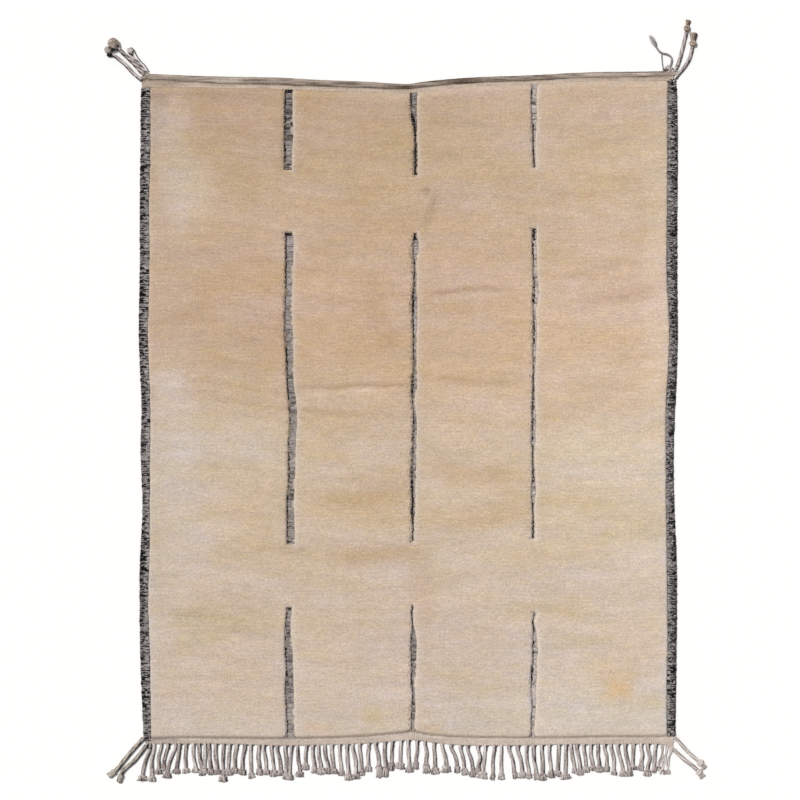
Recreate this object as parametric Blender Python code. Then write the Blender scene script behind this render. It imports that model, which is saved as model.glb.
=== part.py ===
"""A Mrirt rug, hand-knotted wool, lying flat: thick cut pile with three broken lines left
unpiled, wrapped side bindings, a flat-woven heading at each end, a knotted fringe along
one end and loose knotted ties at the four corners.

Metres, +Z up. The origin is on the underside, at the middle of the woven rug. X runs
across the rug, Y along it, with the fringe at -Y.
"""

import math

import bmesh
import bpy

MM = 0.001

# ---------------------------------------------------------------- heights and gaps
GAP = 0.3 * MM            # between two pieces that touch
GROUND = 4.5 * MM         # the flat weave that carries the pile
PILE = 18.5 * MM          # top of the pile
PILE_EDGE = 12.5 * MM     # where the pile's rounded rim starts on its sides
RIM = 10 * MM             # width of that rounded rim
LINE_WALL = 3 * MM        # run of the pile's slope down into an unpiled line
LINE_END = 5 * MM         # the same at the two ends of a dash
BINDING = 11 * MM         # side bindings
HEADING_FLAT = 5.5 * MM   # flat-woven bands
HEADING_CORD = 10 * MM    # corded outer ridge of the top band
CORD_RIDGE = 17 * MM      # width of that ridge
SPINE = 6 * MM            # strip along the bottom band that the tassels hang from
TASSEL = 12 * MM          # height of a tassel's cord
TASSEL_HALF = 8 * MM      # half its width
KNOT_HALF = 15 * MM
KNOT = 19 * MM
TUFT_HALF = 14 * MM
TUFT = 9 * MM
TUFT_DROP = 17 * MM       # how far the cut tuft reaches past the knot's middle

# ---------------------------------------------------------------- outline, millimetres
# One row for each place along the rug's length.
SIDES = (  # y, left outer, left inner, right inner, right outer
    (-1486, -1210, -1174, 1170, 1209),
    (-1272, -1219, -1176, 1168, 1212),
    (-1090, -1225, -1179, 1172, 1214),
    (-863, -1228, -1187, 1171, 1216),
    (-682, -1226, -1181, 1169, 1215),
    (-454, -1215, -1179, 1166, 1205),
    (-182, -1223, -1178, 1164, 1201),
    (0, -1219, -1177, 1164, 1208),
    (182, -1226, -1182, 1174, 1216),
    (341, -1231, -1188, 1181, 1219),
    (636, -1227, -1181, 1168, 1218),
    (909, -1227, -1183, 1171, 1218),
    (1181, -1224, -1177, 1172, 1220),
    (1425, -1222, -1178, 1173, 1217),
    (1500, -1219, -1178, 1173, 1212),
)
# One row for each place across the top end.
TOP = (  # x, where the pile starts, outer edge
    (-1213, 1465, 1528),
    (-1179, 1468, 1528),
    (-997, 1468, 1521),
    (-838, 1465, 1516),
    (-611, 1461, 1512),
    (-361, 1449, 1499),
    (-179, 1445, 1492),
    (-20, 1441, 1483),
    (116, 1456, 1499),
    (298, 1472, 1513),
    (548, 1481, 1522),
    (820, 1496, 1536),
    (1047, 1496, 1539),
    (1150, 1497, 1541),
    (1212, 1498, 1541),
)
# One row for each place across the fringed end.
BOTTOM = (  # x, where the pile ends, where the tassels start
    (-1197, -1493, -1522),
    (-997, -1490, -1520),
    (-770, -1492, -1523),
    (-579, -1493, -1529),
    (-361, -1490, -1525),
    (-179, -1481, -1517),
    (-43, -1468, -1506),
    (16, -1463, -1504),
    (102, -1478, -1514),
    (207, -1486, -1525),
    (411, -1490, -1529),
    (684, -1490, -1524),
    (911, -1486, -1522),
    (1116, -1486, -1521),
    (1172, -1484, -1529),
    (1199, -1484, -1547),
)

# ---------------------------------------------------------------- the unpiled lines, millimetres
# Each line is three dashes: from the top edge, a long middle one, and to the bottom edge.
# "ends" are the y of the first dash's end, the middle one's two ends and the last one's start.
# One row of "path" for each bend: y, middle of the line, its width on the ground.
LINES = {
    "left": {
        "ends": (1091, 807, -609, -897),
        "path": (
            (1460, -549, 34), (1250, -549, 39), (1091, -552, 33),
            (807, -551, 26), (740, -546, 34), (420, -550, 34), (230, -544, 34),
            (110, -540, 30), (40, -535, 32), (-60, -529, 34), (-180, -532, 34),
            (-400, -543, 34), (-609, -540, 36),
            (-897, -549, 24), (-1050, -551, 34), (-1270, -552, 40), (-1460, -539, 30),
        ),
    },
    "middle": {
        "ends": (1067, 803, -595, -892),
        "path": (
            (1440, 19, 33), (1318, 19, 27), (1270, 25, 14), (1067, 27, 15),
            (803, 27, 12), (745, 28, 24), (600, 24, 15), (450, 24, 20),
            (100, 22, 22), (20, 15, 12), (-140, 23, 21), (-210, 19, 22),
            (-350, 16, 22), (-480, 15, 14), (-595, 14, 12),
            (-892, 15, 8), (-1000, 11, 12), (-1080, 18, 24), (-1200, 17, 20),
            (-1290, 17, 14), (-1460, 14, 14),
        ),
    },
    "right": {
        "ends": (1102, 825, -584, -922),
        "path": (
            (1480, 568, 24), (1315, 566, 24), (1250, 564, 16), (1102, 569, 12),
            (825, 565, 20), (640, 568, 18), (560, 572, 24), (460, 566, 13),
            (300, 568, 14), (190, 565, 10), (0, 563, 18), (-210, 560, 10),
            (-380, 563, 17), (-584, 562, 11),
            (-922, 568, 10), (-1090, 570, 26), (-1270, 563, 21), (-1460, 560, 13),
        ),
    },
}

# ---------------------------------------------------------------- soft ripples in the pile, millimetres
RIPPLES = (  # y, from x, to x, depth, half its width
    (101, -530, 10, 2.2, 16),
    (-640, -130, 560, 1.6, 22),
)

# ---------------------------------------------------------------- fringe, millimetres
# One row for each group of neighbouring tassels: how many, x of the first and last root,
# sideways lean of the first and last, and how far below the root each knot's middle lies.
FRINGE = (  # count, first x, last x, first lean, last lean, first drop, last drop
    (2, -1181, -1163, -34, -9, 153, 155),
    (3, -1129, -1066, -12, -37, 122, 139),
    (3, -1047, -984, -13, 10, 125, 118),
    (3, -957, -911, 10, 5, 128, 122),
    (2, -883, -847, 8, -2, 128, 153),
    (3, -819, -750, -6, -10, 122, 128),
    (2, -723, -686, 2, 2, 140, 118),
    (3, -664, -603, 11, 16, 120, 118),
    (2, -566, -538, 6, -7, 132, 138),
    (2, -509, -470, 10, -4, 128, 95),
    (4, -442, -355, 10, 10, 108, 118),
    (2, -319, -285, 9, 7, 126, 143),
    (2, -258, -228, 13, 9, 141, 130),
    (3, -187, -114, 3, 7, 114, 120),
    (2, -79, -40, -4, -3, 104, 109),
    (3, -7, 71, 3, -4, 124, 118),
    (2, 110, 148, 6, 19, 123, 109),
    (3, 188, 263, 27, 22, 105, 125),
    (2, 310, 344, 4, -8, 114, 128),
    (2, 385, 418, -7, -1, 137, 134),
    (3, 452, 532, 23, 9, 126, 131),
    (3, 563, 635, 12, 7, 135, 127),
    (2, 678, 710, -4, -1, 129, 144),
    (3, 735, 791, 14, 11, 120, 114),
    (3, 824, 886, 7, 11, 105, 107),
    (3, 917, 980, 13, 20, 130, 130),
    (2, 1017, 1052, -3, 0, 109, 105),
    (2, 1083, 1118, -1, -5, 128, 120),
    (3, 1149, 1187, -16, -14, 110, 105),
)

# ---------------------------------------------------------------- corner ties, millimetres
# Each tie lies on the surface: its thickness and the places that it passes.
TIES = {
    "tie_tl_1": (18, ((-1207.2, 1524.2), (-1228, 1546), (-1252, 1574), (-1276, 1597), (-1301, 1621), (-1327, 1645))),
    "tie_tl_2": (17, ((-1220, 1500), (-1236, 1514), (-1261, 1536), (-1285, 1563), (-1309, 1585), (-1347, 1615))),
    "tie_tl_3": (11, ((-1197, 1536), (-1216, 1557.5), (-1239, 1585), (-1259, 1605), (-1271, 1621))),
    "tie_tl_3_strand": (6, ((-1186, 1539), (-1203, 1566), (-1226, 1590), (-1244, 1616), (-1252, 1635), (-1264, 1646), (-1276, 1643), (-1278.5, 1633), (-1271.8, 1622.2))),
    "tie_tr_1": (16, ((1208.4, 1547), (1221, 1575), (1232, 1610), (1241, 1645), (1248, 1676), (1255, 1703), (1258, 1719))),
    "tie_tr_2": (16, ((1219, 1524), (1235, 1542), (1256, 1569), (1272, 1597), (1281, 1626), (1286, 1652))),
    "tie_tr_3": (9, ((1180.5, 1557), (1190, 1574), (1193, 1593), (1187, 1608), (1170, 1618), (1146, 1624), (1129, 1640), (1120, 1654))),
    "tie_tr_3_leg": (5.5, ((1155, 1545), (1150, 1580), (1147, 1618.4))),
    "tie_bl_1": (19, ((-1211.5, -1492.5), (-1226, -1509), (-1249, -1534), (-1268, -1555), (-1288, -1580), (-1306, -1602), (-1324, -1626), (-1341, -1642))),
    "tie_bl_2": (18, ((-1200, -1527), (-1214, -1548), (-1234, -1574), (-1254, -1597), (-1275, -1615), (-1295, -1633), (-1307, -1647), (-1312, -1660))),
    "tie_br_1": (17, ((1207.5, -1490.5), (1223, -1507), (1238, -1524), (1257, -1545), (1276, -1564), (1296, -1581), (1312, -1595))),
    "tie_br_2": (18, ((1207, -1551), (1221, -1564), (1241, -1582), (1261, -1599), (1280, -1613), (1298, -1628), (1306, -1636))),
}
# The knot and cut tuft on the far end of a tie: one row for each of its sections.
KNOTS = {  # along the tie, half width, height
    "tie_tl_1": ((0, 11, 20), (9, 20, 30), (22, 22.5, 32), (38, 21, 26), (49, 11, 13)),
    "tie_tl_2": ((0, 10, 18), (8, 16, 24), (22, 16, 24), (36, 11, 13)),
    "tie_tr_1": ((0, 9, 17), (9, 13.5, 22), (20, 12, 18), (30, 14.5, 20), (51, 15, 15), (60, 9, 10)),
    "tie_tr_2": ((0, 9, 17), (9, 15, 23), (21, 16, 20), (33, 17, 20), (60, 17, 14)),
    "tie_tr_3": ((0, 5, 10), (12, 8, 13), (34, 10, 15), (56, 7, 10)),
    "tie_bl_1": ((0, 11, 19), (11, 16, 22), (24, 16, 16), (37, 13, 10)),
    "tie_bl_2": ((0, 11, 19), (11, 15.5, 21), (26, 16, 16), (41, 11, 10)),
    "tie_br_1": ((0, 10, 18), (10, 16, 23), (20, 12, 17), (34, 15.5, 17), (50, 11, 10)),
    "tie_br_2": ((0, 10, 19), (10, 15.5, 23), (20, 13, 18), (32, 16, 18), (48, 10, 10)),
}

# ---------------------------------------------------------------- finishes
FINISH = {  # colour, roughness
    "pile wool": ((0.60, 0.46, 0.33), 0.95),
    "grey wool": ((0.13, 0.12, 0.12), 0.92),
    "beige wool": ((0.50, 0.42, 0.34), 0.92),
    "cord wool": ((0.47, 0.41, 0.36), 0.92),
}


def clear_scene():
    for obj in list(bpy.data.objects):
        bpy.data.objects.remove(obj, do_unlink=True)


def finish(name):
    found = bpy.data.materials.get(name)
    if found:
        return found
    colour, roughness = FINISH[name]
    made = bpy.data.materials.new(name)
    made.use_nodes = True
    shader = made.node_tree.nodes["Principled BSDF"]
    shader.inputs["Base Color"].default_value = (*colour, 1)
    shader.inputs["Roughness"].default_value = roughness
    shader.inputs["Metallic"].default_value = 0
    return made


def smooth(rows, value):
    """A smooth function through the (row[0], row[value]) of a table in millimetres. It takes and gives metres."""
    rows = sorted(rows)
    ks = [row[0] * MM for row in rows]
    vs = [row[value] * MM for row in rows]
    slopes = []
    for i in range(len(ks)):
        a, b = max(i - 1, 0), min(i + 1, len(ks) - 1)
        slopes.append((vs[b] - vs[a]) / (ks[b] - ks[a]))

    def at(k):
        k = min(max(k, ks[0]), ks[-1])
        i = 0
        while i < len(ks) - 2 and k > ks[i + 1]:
            i += 1
        run = ks[i + 1] - ks[i]
        t = (k - ks[i]) / run
        return (
            (2 * t**3 - 3 * t**2 + 1) * vs[i]
            + (t**3 - 2 * t**2 + t) * run * slopes[i]
            + (3 * t**2 - 2 * t**3) * vs[i + 1]
            + (t**3 - t**2) * run * slopes[i + 1]
        )

    return at


def straight(stations, value):
    """Straight runs between the stations' values, so that two pieces on either side of a line keep their gap."""
    stations = sorted(stations)
    values = [value(k) for k in stations]

    def at(k):
        k = min(max(k, stations[0]), stations[-1])
        i = 0
        while i < len(stations) - 2 and k > stations[i + 1]:
            i += 1
        t = (k - stations[i]) / (stations[i + 1] - stations[i])
        return values[i] + (values[i + 1] - values[i]) * t

    return at


side_rows = [row[0] * MM for row in SIDES]
left_outer, left_inner, right_inner, right_outer = (straight(side_rows, smooth(SIDES, n)) for n in (1, 2, 3, 4))


def add(name, points, faces, finish_name):
    """One closed body from points and faces, with its faces turned outwards and smooth-shaded."""
    mesh = bpy.data.meshes.new(name)
    mesh.from_pydata(points, [], faces)
    made = bmesh.new()
    made.from_mesh(mesh)
    bmesh.ops.recalc_face_normals(made, faces=made.faces)
    made.to_mesh(mesh)
    made.free()
    mesh.shade_smooth()
    mesh.set_sharp_from_angle(angle=math.radians(35))
    mesh.materials.append(finish(finish_name))
    obj = bpy.data.objects.new(name, mesh)
    bpy.context.collection.objects.link(obj)
    return obj


def loft(name, sections, finish_name):
    """A body from sections with the same number of points, closed at both ends."""
    count = len(sections[0])
    points = [point for section in sections for point in section]
    faces = []
    for s in range(len(sections) - 1):
        for n in range(count):
            m = (n + 1) % count
            a, b = s * count, (s + 1) * count
            faces.append((a + n, a + m, b + m, b + n))
    last = (len(sections) - 1) * count
    faces.append(tuple(range(count))[::-1])
    faces.append(tuple(range(last, last + count)))
    return add(name, points, faces, finish_name)


# ---------------------------------------------------------------- pile field

FIRST_ROW, LAST_ROW = -1443 * MM, 1425 * MM    # the rows next to the rims at the two ends
BOTTOM_END, TOP_END = -1485 * MM, 1465 * MM    # where the columns at the two ends are taken
PANEL_STEPS = 3                                # columns across each panel of plain pile


def ripple_depth(x, y):
    depth = 0.0
    for ry, x0, x1, deep, half in RIPPLES:
        if x0 * MM <= x <= x1 * MM and abs(y - ry * MM) < half * MM:
            depth += deep * MM * (1 - abs(y - ry * MM) / (half * MM))
    return depth


def in_dash(ends, y):
    near = 0.3 * MM
    first_end, middle_start, middle_end, last_start = (e * MM for e in ends)
    return y >= first_end - near or middle_end - near <= y <= middle_start + near or y <= last_start + near


def field_rows():
    """The y of each cross row between the rims: the outline's rows, ripples, and both sides of each dash's end."""
    rows = {FIRST_ROW, LAST_ROW} | {y for y in side_rows if FIRST_ROW < y < LAST_ROW}
    for line in LINES.values():
        first_end, middle_start, middle_end, last_start = (e * MM for e in line["ends"])
        rows |= {first_end, first_end - LINE_END, middle_start, middle_start + LINE_END}
        rows |= {middle_end, middle_end - LINE_END, last_start, last_start + LINE_END}
    for y, _, _, _, half in RIPPLES:
        rows |= {(y - half) * MM, y * MM, (y + half) * MM}
    kept = []
    for y in sorted(rows):
        if not kept or y - kept[-1] > 1.5 * MM:
            kept.append(y)
    return kept


line_paths = [(line["ends"], smooth(line["path"], 1), smooth(line["path"], 2)) for line in LINES.values()]


def field_columns(y):
    """(x, what it is) of each column of points across the field at y."""
    left, right = left_inner(y) + GAP, right_inner(y) - GAP
    columns = [(left, "edge"), (left + RIM, "top")]
    before = left + RIM
    for ends, middle, width in line_paths:
        floor = "low" if in_dash(ends, y) else "top"
        near, far = middle(y) - width(y) / 2, middle(y) + width(y) / 2
        for n in range(1, PANEL_STEPS):
            columns.append((before + (near - LINE_WALL - before) * n / PANEL_STEPS, "top"))
        columns += [(near - LINE_WALL, "top"), (near, floor), (far, floor), (far + LINE_WALL, "top")]
        before = far + LINE_WALL
    for n in range(1, PANEL_STEPS):
        columns.append((before + (right - RIM - before) * n / PANEL_STEPS, "top"))
    return columns + [(right - RIM, "top"), (right, "edge")]


# The ends of the field, as straight runs between its columns.
top_columns = [x for x, _ in field_columns(TOP_END)]
bottom_columns = [x for x, _ in field_columns(BOTTOM_END)]
top_pile = straight([-1213 * MM, *top_columns, 1212 * MM], smooth(TOP, 1))
top_outer = smooth(TOP, 2)
bottom_pile = straight([-1197 * MM, *bottom_columns, 1199 * MM], smooth(BOTTOM, 1))


def make_field():
    """The ground with its pile, one solid: a grid of columns and rows over a flat underside."""
    rows = field_rows()
    grid = []
    for x, kind in field_columns(BOTTOM_END):
        grid.append((x, bottom_pile(x) + GAP, GROUND if kind == "low" else PILE_EDGE))
    for x, kind in field_columns(BOTTOM_END):
        grid.append((x, bottom_pile(x) + GAP + RIM, {"low": GROUND, "edge": PILE_EDGE, "top": PILE}[kind]))
    for y in rows:
        for x, kind in field_columns(y):
            grid.append((x, y, {"low": GROUND, "edge": PILE_EDGE, "top": PILE - ripple_depth(x, y)}[kind]))
    for x, kind in field_columns(TOP_END):
        grid.append((x, top_pile(x) - GAP - RIM, {"low": GROUND, "edge": PILE_EDGE, "top": PILE}[kind]))
    for x, kind in field_columns(TOP_END):
        grid.append((x, top_pile(x) - GAP, GROUND if kind == "low" else PILE_EDGE))

    across = len(bottom_columns)
    last = across - 1
    top_row = len(rows) + 3
    points = list(grid)

    def top(r, c):
        return r * across + c

    faces = [
        (top(r, c), top(r, c + 1), top(r + 1, c + 1), top(r + 1, c)) for r in range(top_row) for c in range(last)
    ]
    below = {}
    for r in range(top_row + 1):
        for c in range(across) if r in (0, top_row) else (0, last):
            x, y, _ = grid[top(r, c)]
            below[r, c] = len(points)
            points.append((x, y, 0.0))
    for c in (0, last):
        faces += [(top(r, c), top(r + 1, c), below[r + 1, c], below[r, c]) for r in range(top_row)]
    for r in (0, top_row):
        faces += [(top(r, c), top(r, c + 1), below[r, c + 1], below[r, c]) for c in range(last)]
    # The underside: fans at the two curved ends, and straight strips between them.
    for end, rim, inner in ((0, 1, 2), (top_row, top_row - 1, top_row - 2)):
        apex = below[inner, 0]
        faces += [(below[end, c], below[end, c + 1], apex) for c in range(1, last)]
        faces += [(below[end, 0], below[end, 1], below[rim, 0]), (below[end, 1], apex, below[rim, 0])]
        faces += [(below[end, last], below[rim, last], apex), (below[rim, last], below[inner, last], apex)]
    for r in range(2, top_row - 2):
        faces.append((below[r, 0], below[r, last], below[r + 1, last], below[r + 1, 0]))
    return add("pile_field", points, faces, "pile wool")


# ---------------------------------------------------------------- side bindings


def make_binding(name, outer, inner, side, bottom, top):
    """Two wrapped bundles side by side. side is -1 for the left binding and 1 for the right."""
    ys = [bottom] + [y for y in side_rows if bottom + 0.02 < y < top - 0.02] + [top]
    profile = (  # how far in from the outer edge, share of the height
        (0.02, 0.55), (0.14, 0.90), (0.28, 1.0), (0.50, 0.80), (0.72, 1.0), (0.90, 0.85), (1.0, 0.50), (1.0, 0.0), (0.12, 0.0),
    )
    sections = []
    for y in ys:
        a, b = outer(y), inner(y) + side * GAP
        sections.append([(a + (b - a) * u, y, BINDING * h) for u, h in profile])
    return loft(name, sections, "grey wool")


# ---------------------------------------------------------------- headings


def make_top_heading():
    """A flat band with a corded outer ridge. Its corners rise into the ties."""
    left, right = -1213 * MM, 1212 * MM
    stations = [left, -1200 * MM, -1192 * MM, *top_columns, 1187 * MM, 1201 * MM, 1208 * MM, right]
    raised = {  # where a corner stands out past the band's own edge
        left: 1518 * MM, -1200 * MM: 1531 * MM, -1192 * MM: 1539 * MM, top_columns[-1]: 1548 * MM,
        1187 * MM: 1555.5 * MM, 1201 * MM: 1549.2 * MM, 1208 * MM: 1546 * MM, right: 1532 * MM,
    }
    sections = []
    for x in stations:
        low = top_pile(x)
        high = raised.get(x, top_outer(x))
        ridge = high - CORD_RIDGE
        sections.append(
            [
                (x, low, 0.0),
                (x, low, HEADING_FLAT),
                (x, ridge, HEADING_FLAT),
                (x, ridge + 0.2 * CORD_RIDGE, 0.9 * HEADING_CORD),
                (x, ridge + 0.5 * CORD_RIDGE, HEADING_CORD),
                (x, ridge + 0.85 * CORD_RIDGE, 0.85 * HEADING_CORD),
                (x, high, 0.45 * HEADING_CORD),
                (x, high - 0.1 * CORD_RIDGE, 0.0),
            ]
        )
    return loft("heading_top", sections, "beige wool")


def tassels():
    """(root x, lean, drop) of each tassel, from left to right."""
    made = []
    for count, x0, x1, lean0, lean1, drop0, drop1 in FRINGE:
        for n in range(count):
            t = n / (count - 1)
            made.append((x0 + (x1 - x0) * t, lean0 + (lean1 - lean0) * t, drop0 + (drop1 - drop0) * t))
    return [tuple(value * MM for value in row) for row in made]


all_tassels = tassels()
# The line that the tassels hang from, as straight runs between places that lie between two tassels.
root_places = [-1197 * MM, 1199 * MM]
root_places += [(all_tassels[n][0] + all_tassels[n + 1][0]) / 2 for n in range(3, len(all_tassels) - 2, 4)]
root_places.sort()
bottom_root = straight(root_places, smooth(BOTTOM, 2))


def make_bottom_heading():
    """A flat ribbed band between the pile and the fringe."""
    stations = [x for x in bottom_columns if all(abs(x - place) > 1 * MM for place in root_places)]
    sections = []
    for x in sorted(stations + root_places):
        high = bottom_pile(x)
        low = bottom_root(x) + SPINE + GAP
        sections.append(
            [
                (x, high, 0.0),
                (x, high, 0.75 * HEADING_FLAT),
                (x, high - 0.25 * (high - low), HEADING_FLAT),
                (x, low, HEADING_FLAT),
                (x, low, 0.0),
            ]
        )
    return loft("heading_bottom", sections, "beige wool")


# ---------------------------------------------------------------- fringe


def tassel_x(tassel, fall):
    """Where a tassel's middle is, a given fall below its root."""
    root, lean, drop = tassel
    t = fall / drop
    return root + lean * (t**1.25 if t > 0 else 0)


def half_at(index, fall, wanted):
    """The half width that a tassel may have without touching the ones beside it."""
    own = tassel_x(all_tassels[index], fall)
    for other in (index - 1, index + 1):
        if 0 <= other < len(all_tassels) and fall < all_tassels[other][2] + TUFT_DROP + 8 * MM:
            wanted = min(wanted, abs(tassel_x(all_tassels[other], fall) - own) / 2 - 0.5 * MM)
    return wanted


def make_fringe():
    """One comb: a strip with a knotted tooth for each tassel."""
    points, faces = [], []

    def put(x, y, z):
        points.append((x, y, z))
        return len(points) - 1

    def strip_ring(x):
        low = bottom_root(x)
        return [put(x, y, z) for y, z in ((low + SPINE, 0), (low, 0), (low, HEADING_FLAT), (low + SPINE, HEADING_FLAT))]

    def join(a, b, sides=(0, 1, 2, 3)):
        faces.extend((a[n], a[(n + 1) % 4], b[(n + 1) % 4], b[n]) for n in sides)

    places = list(root_places)
    before = strip_ring(places.pop(0))
    faces.append(tuple(before))
    for index, tassel in enumerate(all_tassels):
        root, _, drop = tassel
        half = half_at(index, 0.0, 9 * MM)
        if places[0] < root:
            ring = strip_ring(places.pop(0))
            join(before, ring)
            before = ring
        left, right = strip_ring(root - half), strip_ring(root + half)
        join(before, left)
        join(left, right, (0, 2, 3))  # the front stays open: the tooth grows out of it
        before = right
        ring = [left[1], right[1], right[2], left[2]]
        for fall, wide, high, kept in (  # how far down, half width, height, share of the width kept on top
            (0.3 * drop, TASSEL_HALF, TASSEL, 0.7),
            (drop - 15 * MM, TASSEL_HALF, TASSEL, 0.7),
            (drop - 2 * MM, KNOT_HALF, KNOT, 0.6),
            (drop + 0.5 * TUFT_DROP, 0.8 * KNOT_HALF, 0.65 * KNOT, 0.65),
            (drop + TUFT_DROP, TUFT_HALF, TUFT, 0.8),
        ):
            x, y = tassel_x(tassel, fall), bottom_root(root) - fall
            w = half_at(index, fall, wide)
            new = [put(x - w, y, 0.0), put(x + w, y, 0.0), put(x + kept * w, y, high), put(x - kept * w, y, high)]
            join(ring, new)
            ring = new
        faces.append(tuple(ring))
    after = strip_ring(places.pop(0))
    join(before, after)
    faces.append(tuple(after))
    return add("fringe", points, faces, "cord wool")


# ---------------------------------------------------------------- corner ties


def route(places, spacing):
    """Points spacing apart along a smooth curve through the places, in metres."""
    places = [(x * MM, y * MM) for x, y in places]
    fine = []
    for i in range(len(places) - 1):
        p0 = places[max(i - 1, 0)]
        p1, p2 = places[i], places[i + 1]
        p3 = places[min(i + 2, len(places) - 1)]
        for n in range(24):
            t = n / 24
            fine.append(
                tuple(
                    0.5
                    * (
                        2 * p1[k]
                        + (p2[k] - p0[k]) * t
                        + (2 * p0[k] - 5 * p1[k] + 4 * p2[k] - p3[k]) * t * t
                        + (3 * p1[k] - p0[k] - 3 * p2[k] + p3[k]) * t**3
                    )
                    for k in (0, 1)
                )
            )
    fine.append(places[-1])
    lengths = [0.0]
    for a, b in zip(fine, fine[1:]):
        lengths.append(lengths[-1] + math.dist(a, b))
    steps = max(3, round(lengths[-1] / spacing))
    points = []
    for n in range(steps + 1):
        want = lengths[-1] * n / steps
        i = 0
        while i < len(lengths) - 2 and lengths[i + 1] < want:
            i += 1
        t = (want - lengths[i]) / max(lengths[i + 1] - lengths[i], 1e-9)
        points.append(tuple(fine[i][k] + (fine[i + 1][k] - fine[i][k]) * t for k in (0, 1)))
    return points


def make_tie(name, thickness, places):
    radius = thickness * MM / 2
    curve = bpy.data.curves.new(name, "CURVE")
    curve.dimensions = "3D"
    curve.bevel_depth = radius
    curve.bevel_resolution = 2
    curve.use_fill_caps = True
    points = route(places, 2.4 * thickness * MM)
    spline = curve.splines.new("POLY")
    spline.points.add(len(points) - 1)
    for at, (x, y) in zip(spline.points, points):
        at.co = (x, y, radius + 0.05 * MM, 1)
    curve.materials.append(finish("cord wool"))
    obj = bpy.data.objects.new(name, curve)
    bpy.context.collection.objects.link(obj)
    return points


def make_knot(name, points, rows):
    """The knot and its cut tuft, in line with the tie's last stretch and flat where it lies."""
    (ax, ay), (bx, by) = points[-2], points[-1]
    long = math.hypot(bx - ax, by - ay)
    dx, dy = (bx - ax) / long, (by - ay) / long
    outline = ((-0.6, 0.0), (0.6, 0.0), (1.0, 0.35), (0.75, 0.82), (0.0, 1.0), (-0.75, 0.82), (-1.0, 0.35))
    sections = []
    for along, half, high in rows:
        cx, cy = bx + dx * (along * MM + GAP), by + dy * (along * MM + GAP)
        sections.append([(cx - dy * half * MM * u, cy + dx * half * MM * u, high * MM * v) for u, v in outline])
    return loft(name, sections, "cord wool")


def main():
    clear_scene()
    make_field()
    make_binding("binding_left", left_outer, left_inner, -1, -1491.5 * MM, 1464 * MM)
    make_binding("binding_right", right_outer, right_inner, 1, -1483.5 * MM, 1496.5 * MM)
    make_top_heading()
    make_bottom_heading()
    make_fringe()
    for name, (thickness, places) in TIES.items():
        points = make_tie(name, thickness, places)
        if name in KNOTS:
            make_knot(name + "_knot", points, KNOTS[name])


main()
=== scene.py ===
"""The visual model of the Mrirt rug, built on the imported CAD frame. Metres, +Z up, seen from straight above."""

import math

import bpy
import numpy as np
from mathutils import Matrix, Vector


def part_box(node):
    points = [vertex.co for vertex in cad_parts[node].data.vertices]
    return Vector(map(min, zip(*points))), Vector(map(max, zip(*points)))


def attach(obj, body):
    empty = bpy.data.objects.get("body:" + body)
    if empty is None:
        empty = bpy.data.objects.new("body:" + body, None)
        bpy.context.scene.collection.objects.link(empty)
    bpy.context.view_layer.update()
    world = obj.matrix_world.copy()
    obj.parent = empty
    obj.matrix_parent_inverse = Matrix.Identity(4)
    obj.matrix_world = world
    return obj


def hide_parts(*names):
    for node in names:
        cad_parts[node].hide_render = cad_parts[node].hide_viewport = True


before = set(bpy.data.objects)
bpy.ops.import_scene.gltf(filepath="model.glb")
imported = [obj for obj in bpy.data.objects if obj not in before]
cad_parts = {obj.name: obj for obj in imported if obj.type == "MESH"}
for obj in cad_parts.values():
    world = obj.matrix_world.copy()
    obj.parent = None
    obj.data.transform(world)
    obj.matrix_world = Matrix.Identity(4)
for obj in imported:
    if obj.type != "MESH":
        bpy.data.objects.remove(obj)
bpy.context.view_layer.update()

MM = 0.001

# ---------------------------------------------------------------- camera
VIEW_WIDTH = 3.635          # metres of floor across the picture
VIEW_CENTRE = (-0.0432, 0.0454)
LENS, SENSOR = 85.0, 36.0
TOP_OF_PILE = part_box("pile_field")[1][2]

camera_data = bpy.data.cameras.new("camera")
camera_data.lens = LENS
camera_data.sensor_width = SENSOR
camera_data.clip_start, camera_data.clip_end = 0.1, 200.0
camera = bpy.data.objects.new("camera", camera_data)
bpy.context.collection.objects.link(camera)
camera.location = (*VIEW_CENTRE, 0.7 * TOP_OF_PILE + VIEW_WIDTH / 2 / (SENSOR / 2 / LENS))
bpy.context.scene.camera = camera


# ---------------------------------------------------------------- small tools
def linear(r, g, b):
    """A colour as the eye reads it, 0 to 255, in the renderer's linear light."""
    return tuple(((c / 255 + 0.055) / 1.055) ** 2.4 if c > 10 else c / 255 / 12.92 for c in (r, g, b))


def curve_through(rows, column):
    """A smooth function through (row[0], row[column]) of a table in millimetres, for arrays of metres."""
    rows = sorted(rows)
    ks = np.array([row[0] for row in rows], float) * MM
    vs = np.array([row[column] for row in rows], float) * MM
    slopes = np.empty_like(vs)
    slopes[1:-1] = (vs[2:] - vs[:-2]) / (ks[2:] - ks[:-2])
    slopes[0] = (vs[1] - vs[0]) / (ks[1] - ks[0])
    slopes[-1] = (vs[-1] - vs[-2]) / (ks[-1] - ks[-2])

    def at(k):
        k = np.clip(np.asarray(k, float), ks[0], ks[-1])
        i = np.clip(np.searchsorted(ks, k) - 1, 0, len(ks) - 2)
        run = ks[i + 1] - ks[i]
        t = (k - ks[i]) / run
        return (
            (2 * t**3 - 3 * t**2 + 1) * vs[i]
            + (t**3 - 2 * t**2 + t) * run * slopes[i]
            + (3 * t**2 - 2 * t**3) * vs[i + 1]
            + (t**3 - t**2) * run * slopes[i + 1]
        )

    return at


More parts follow.
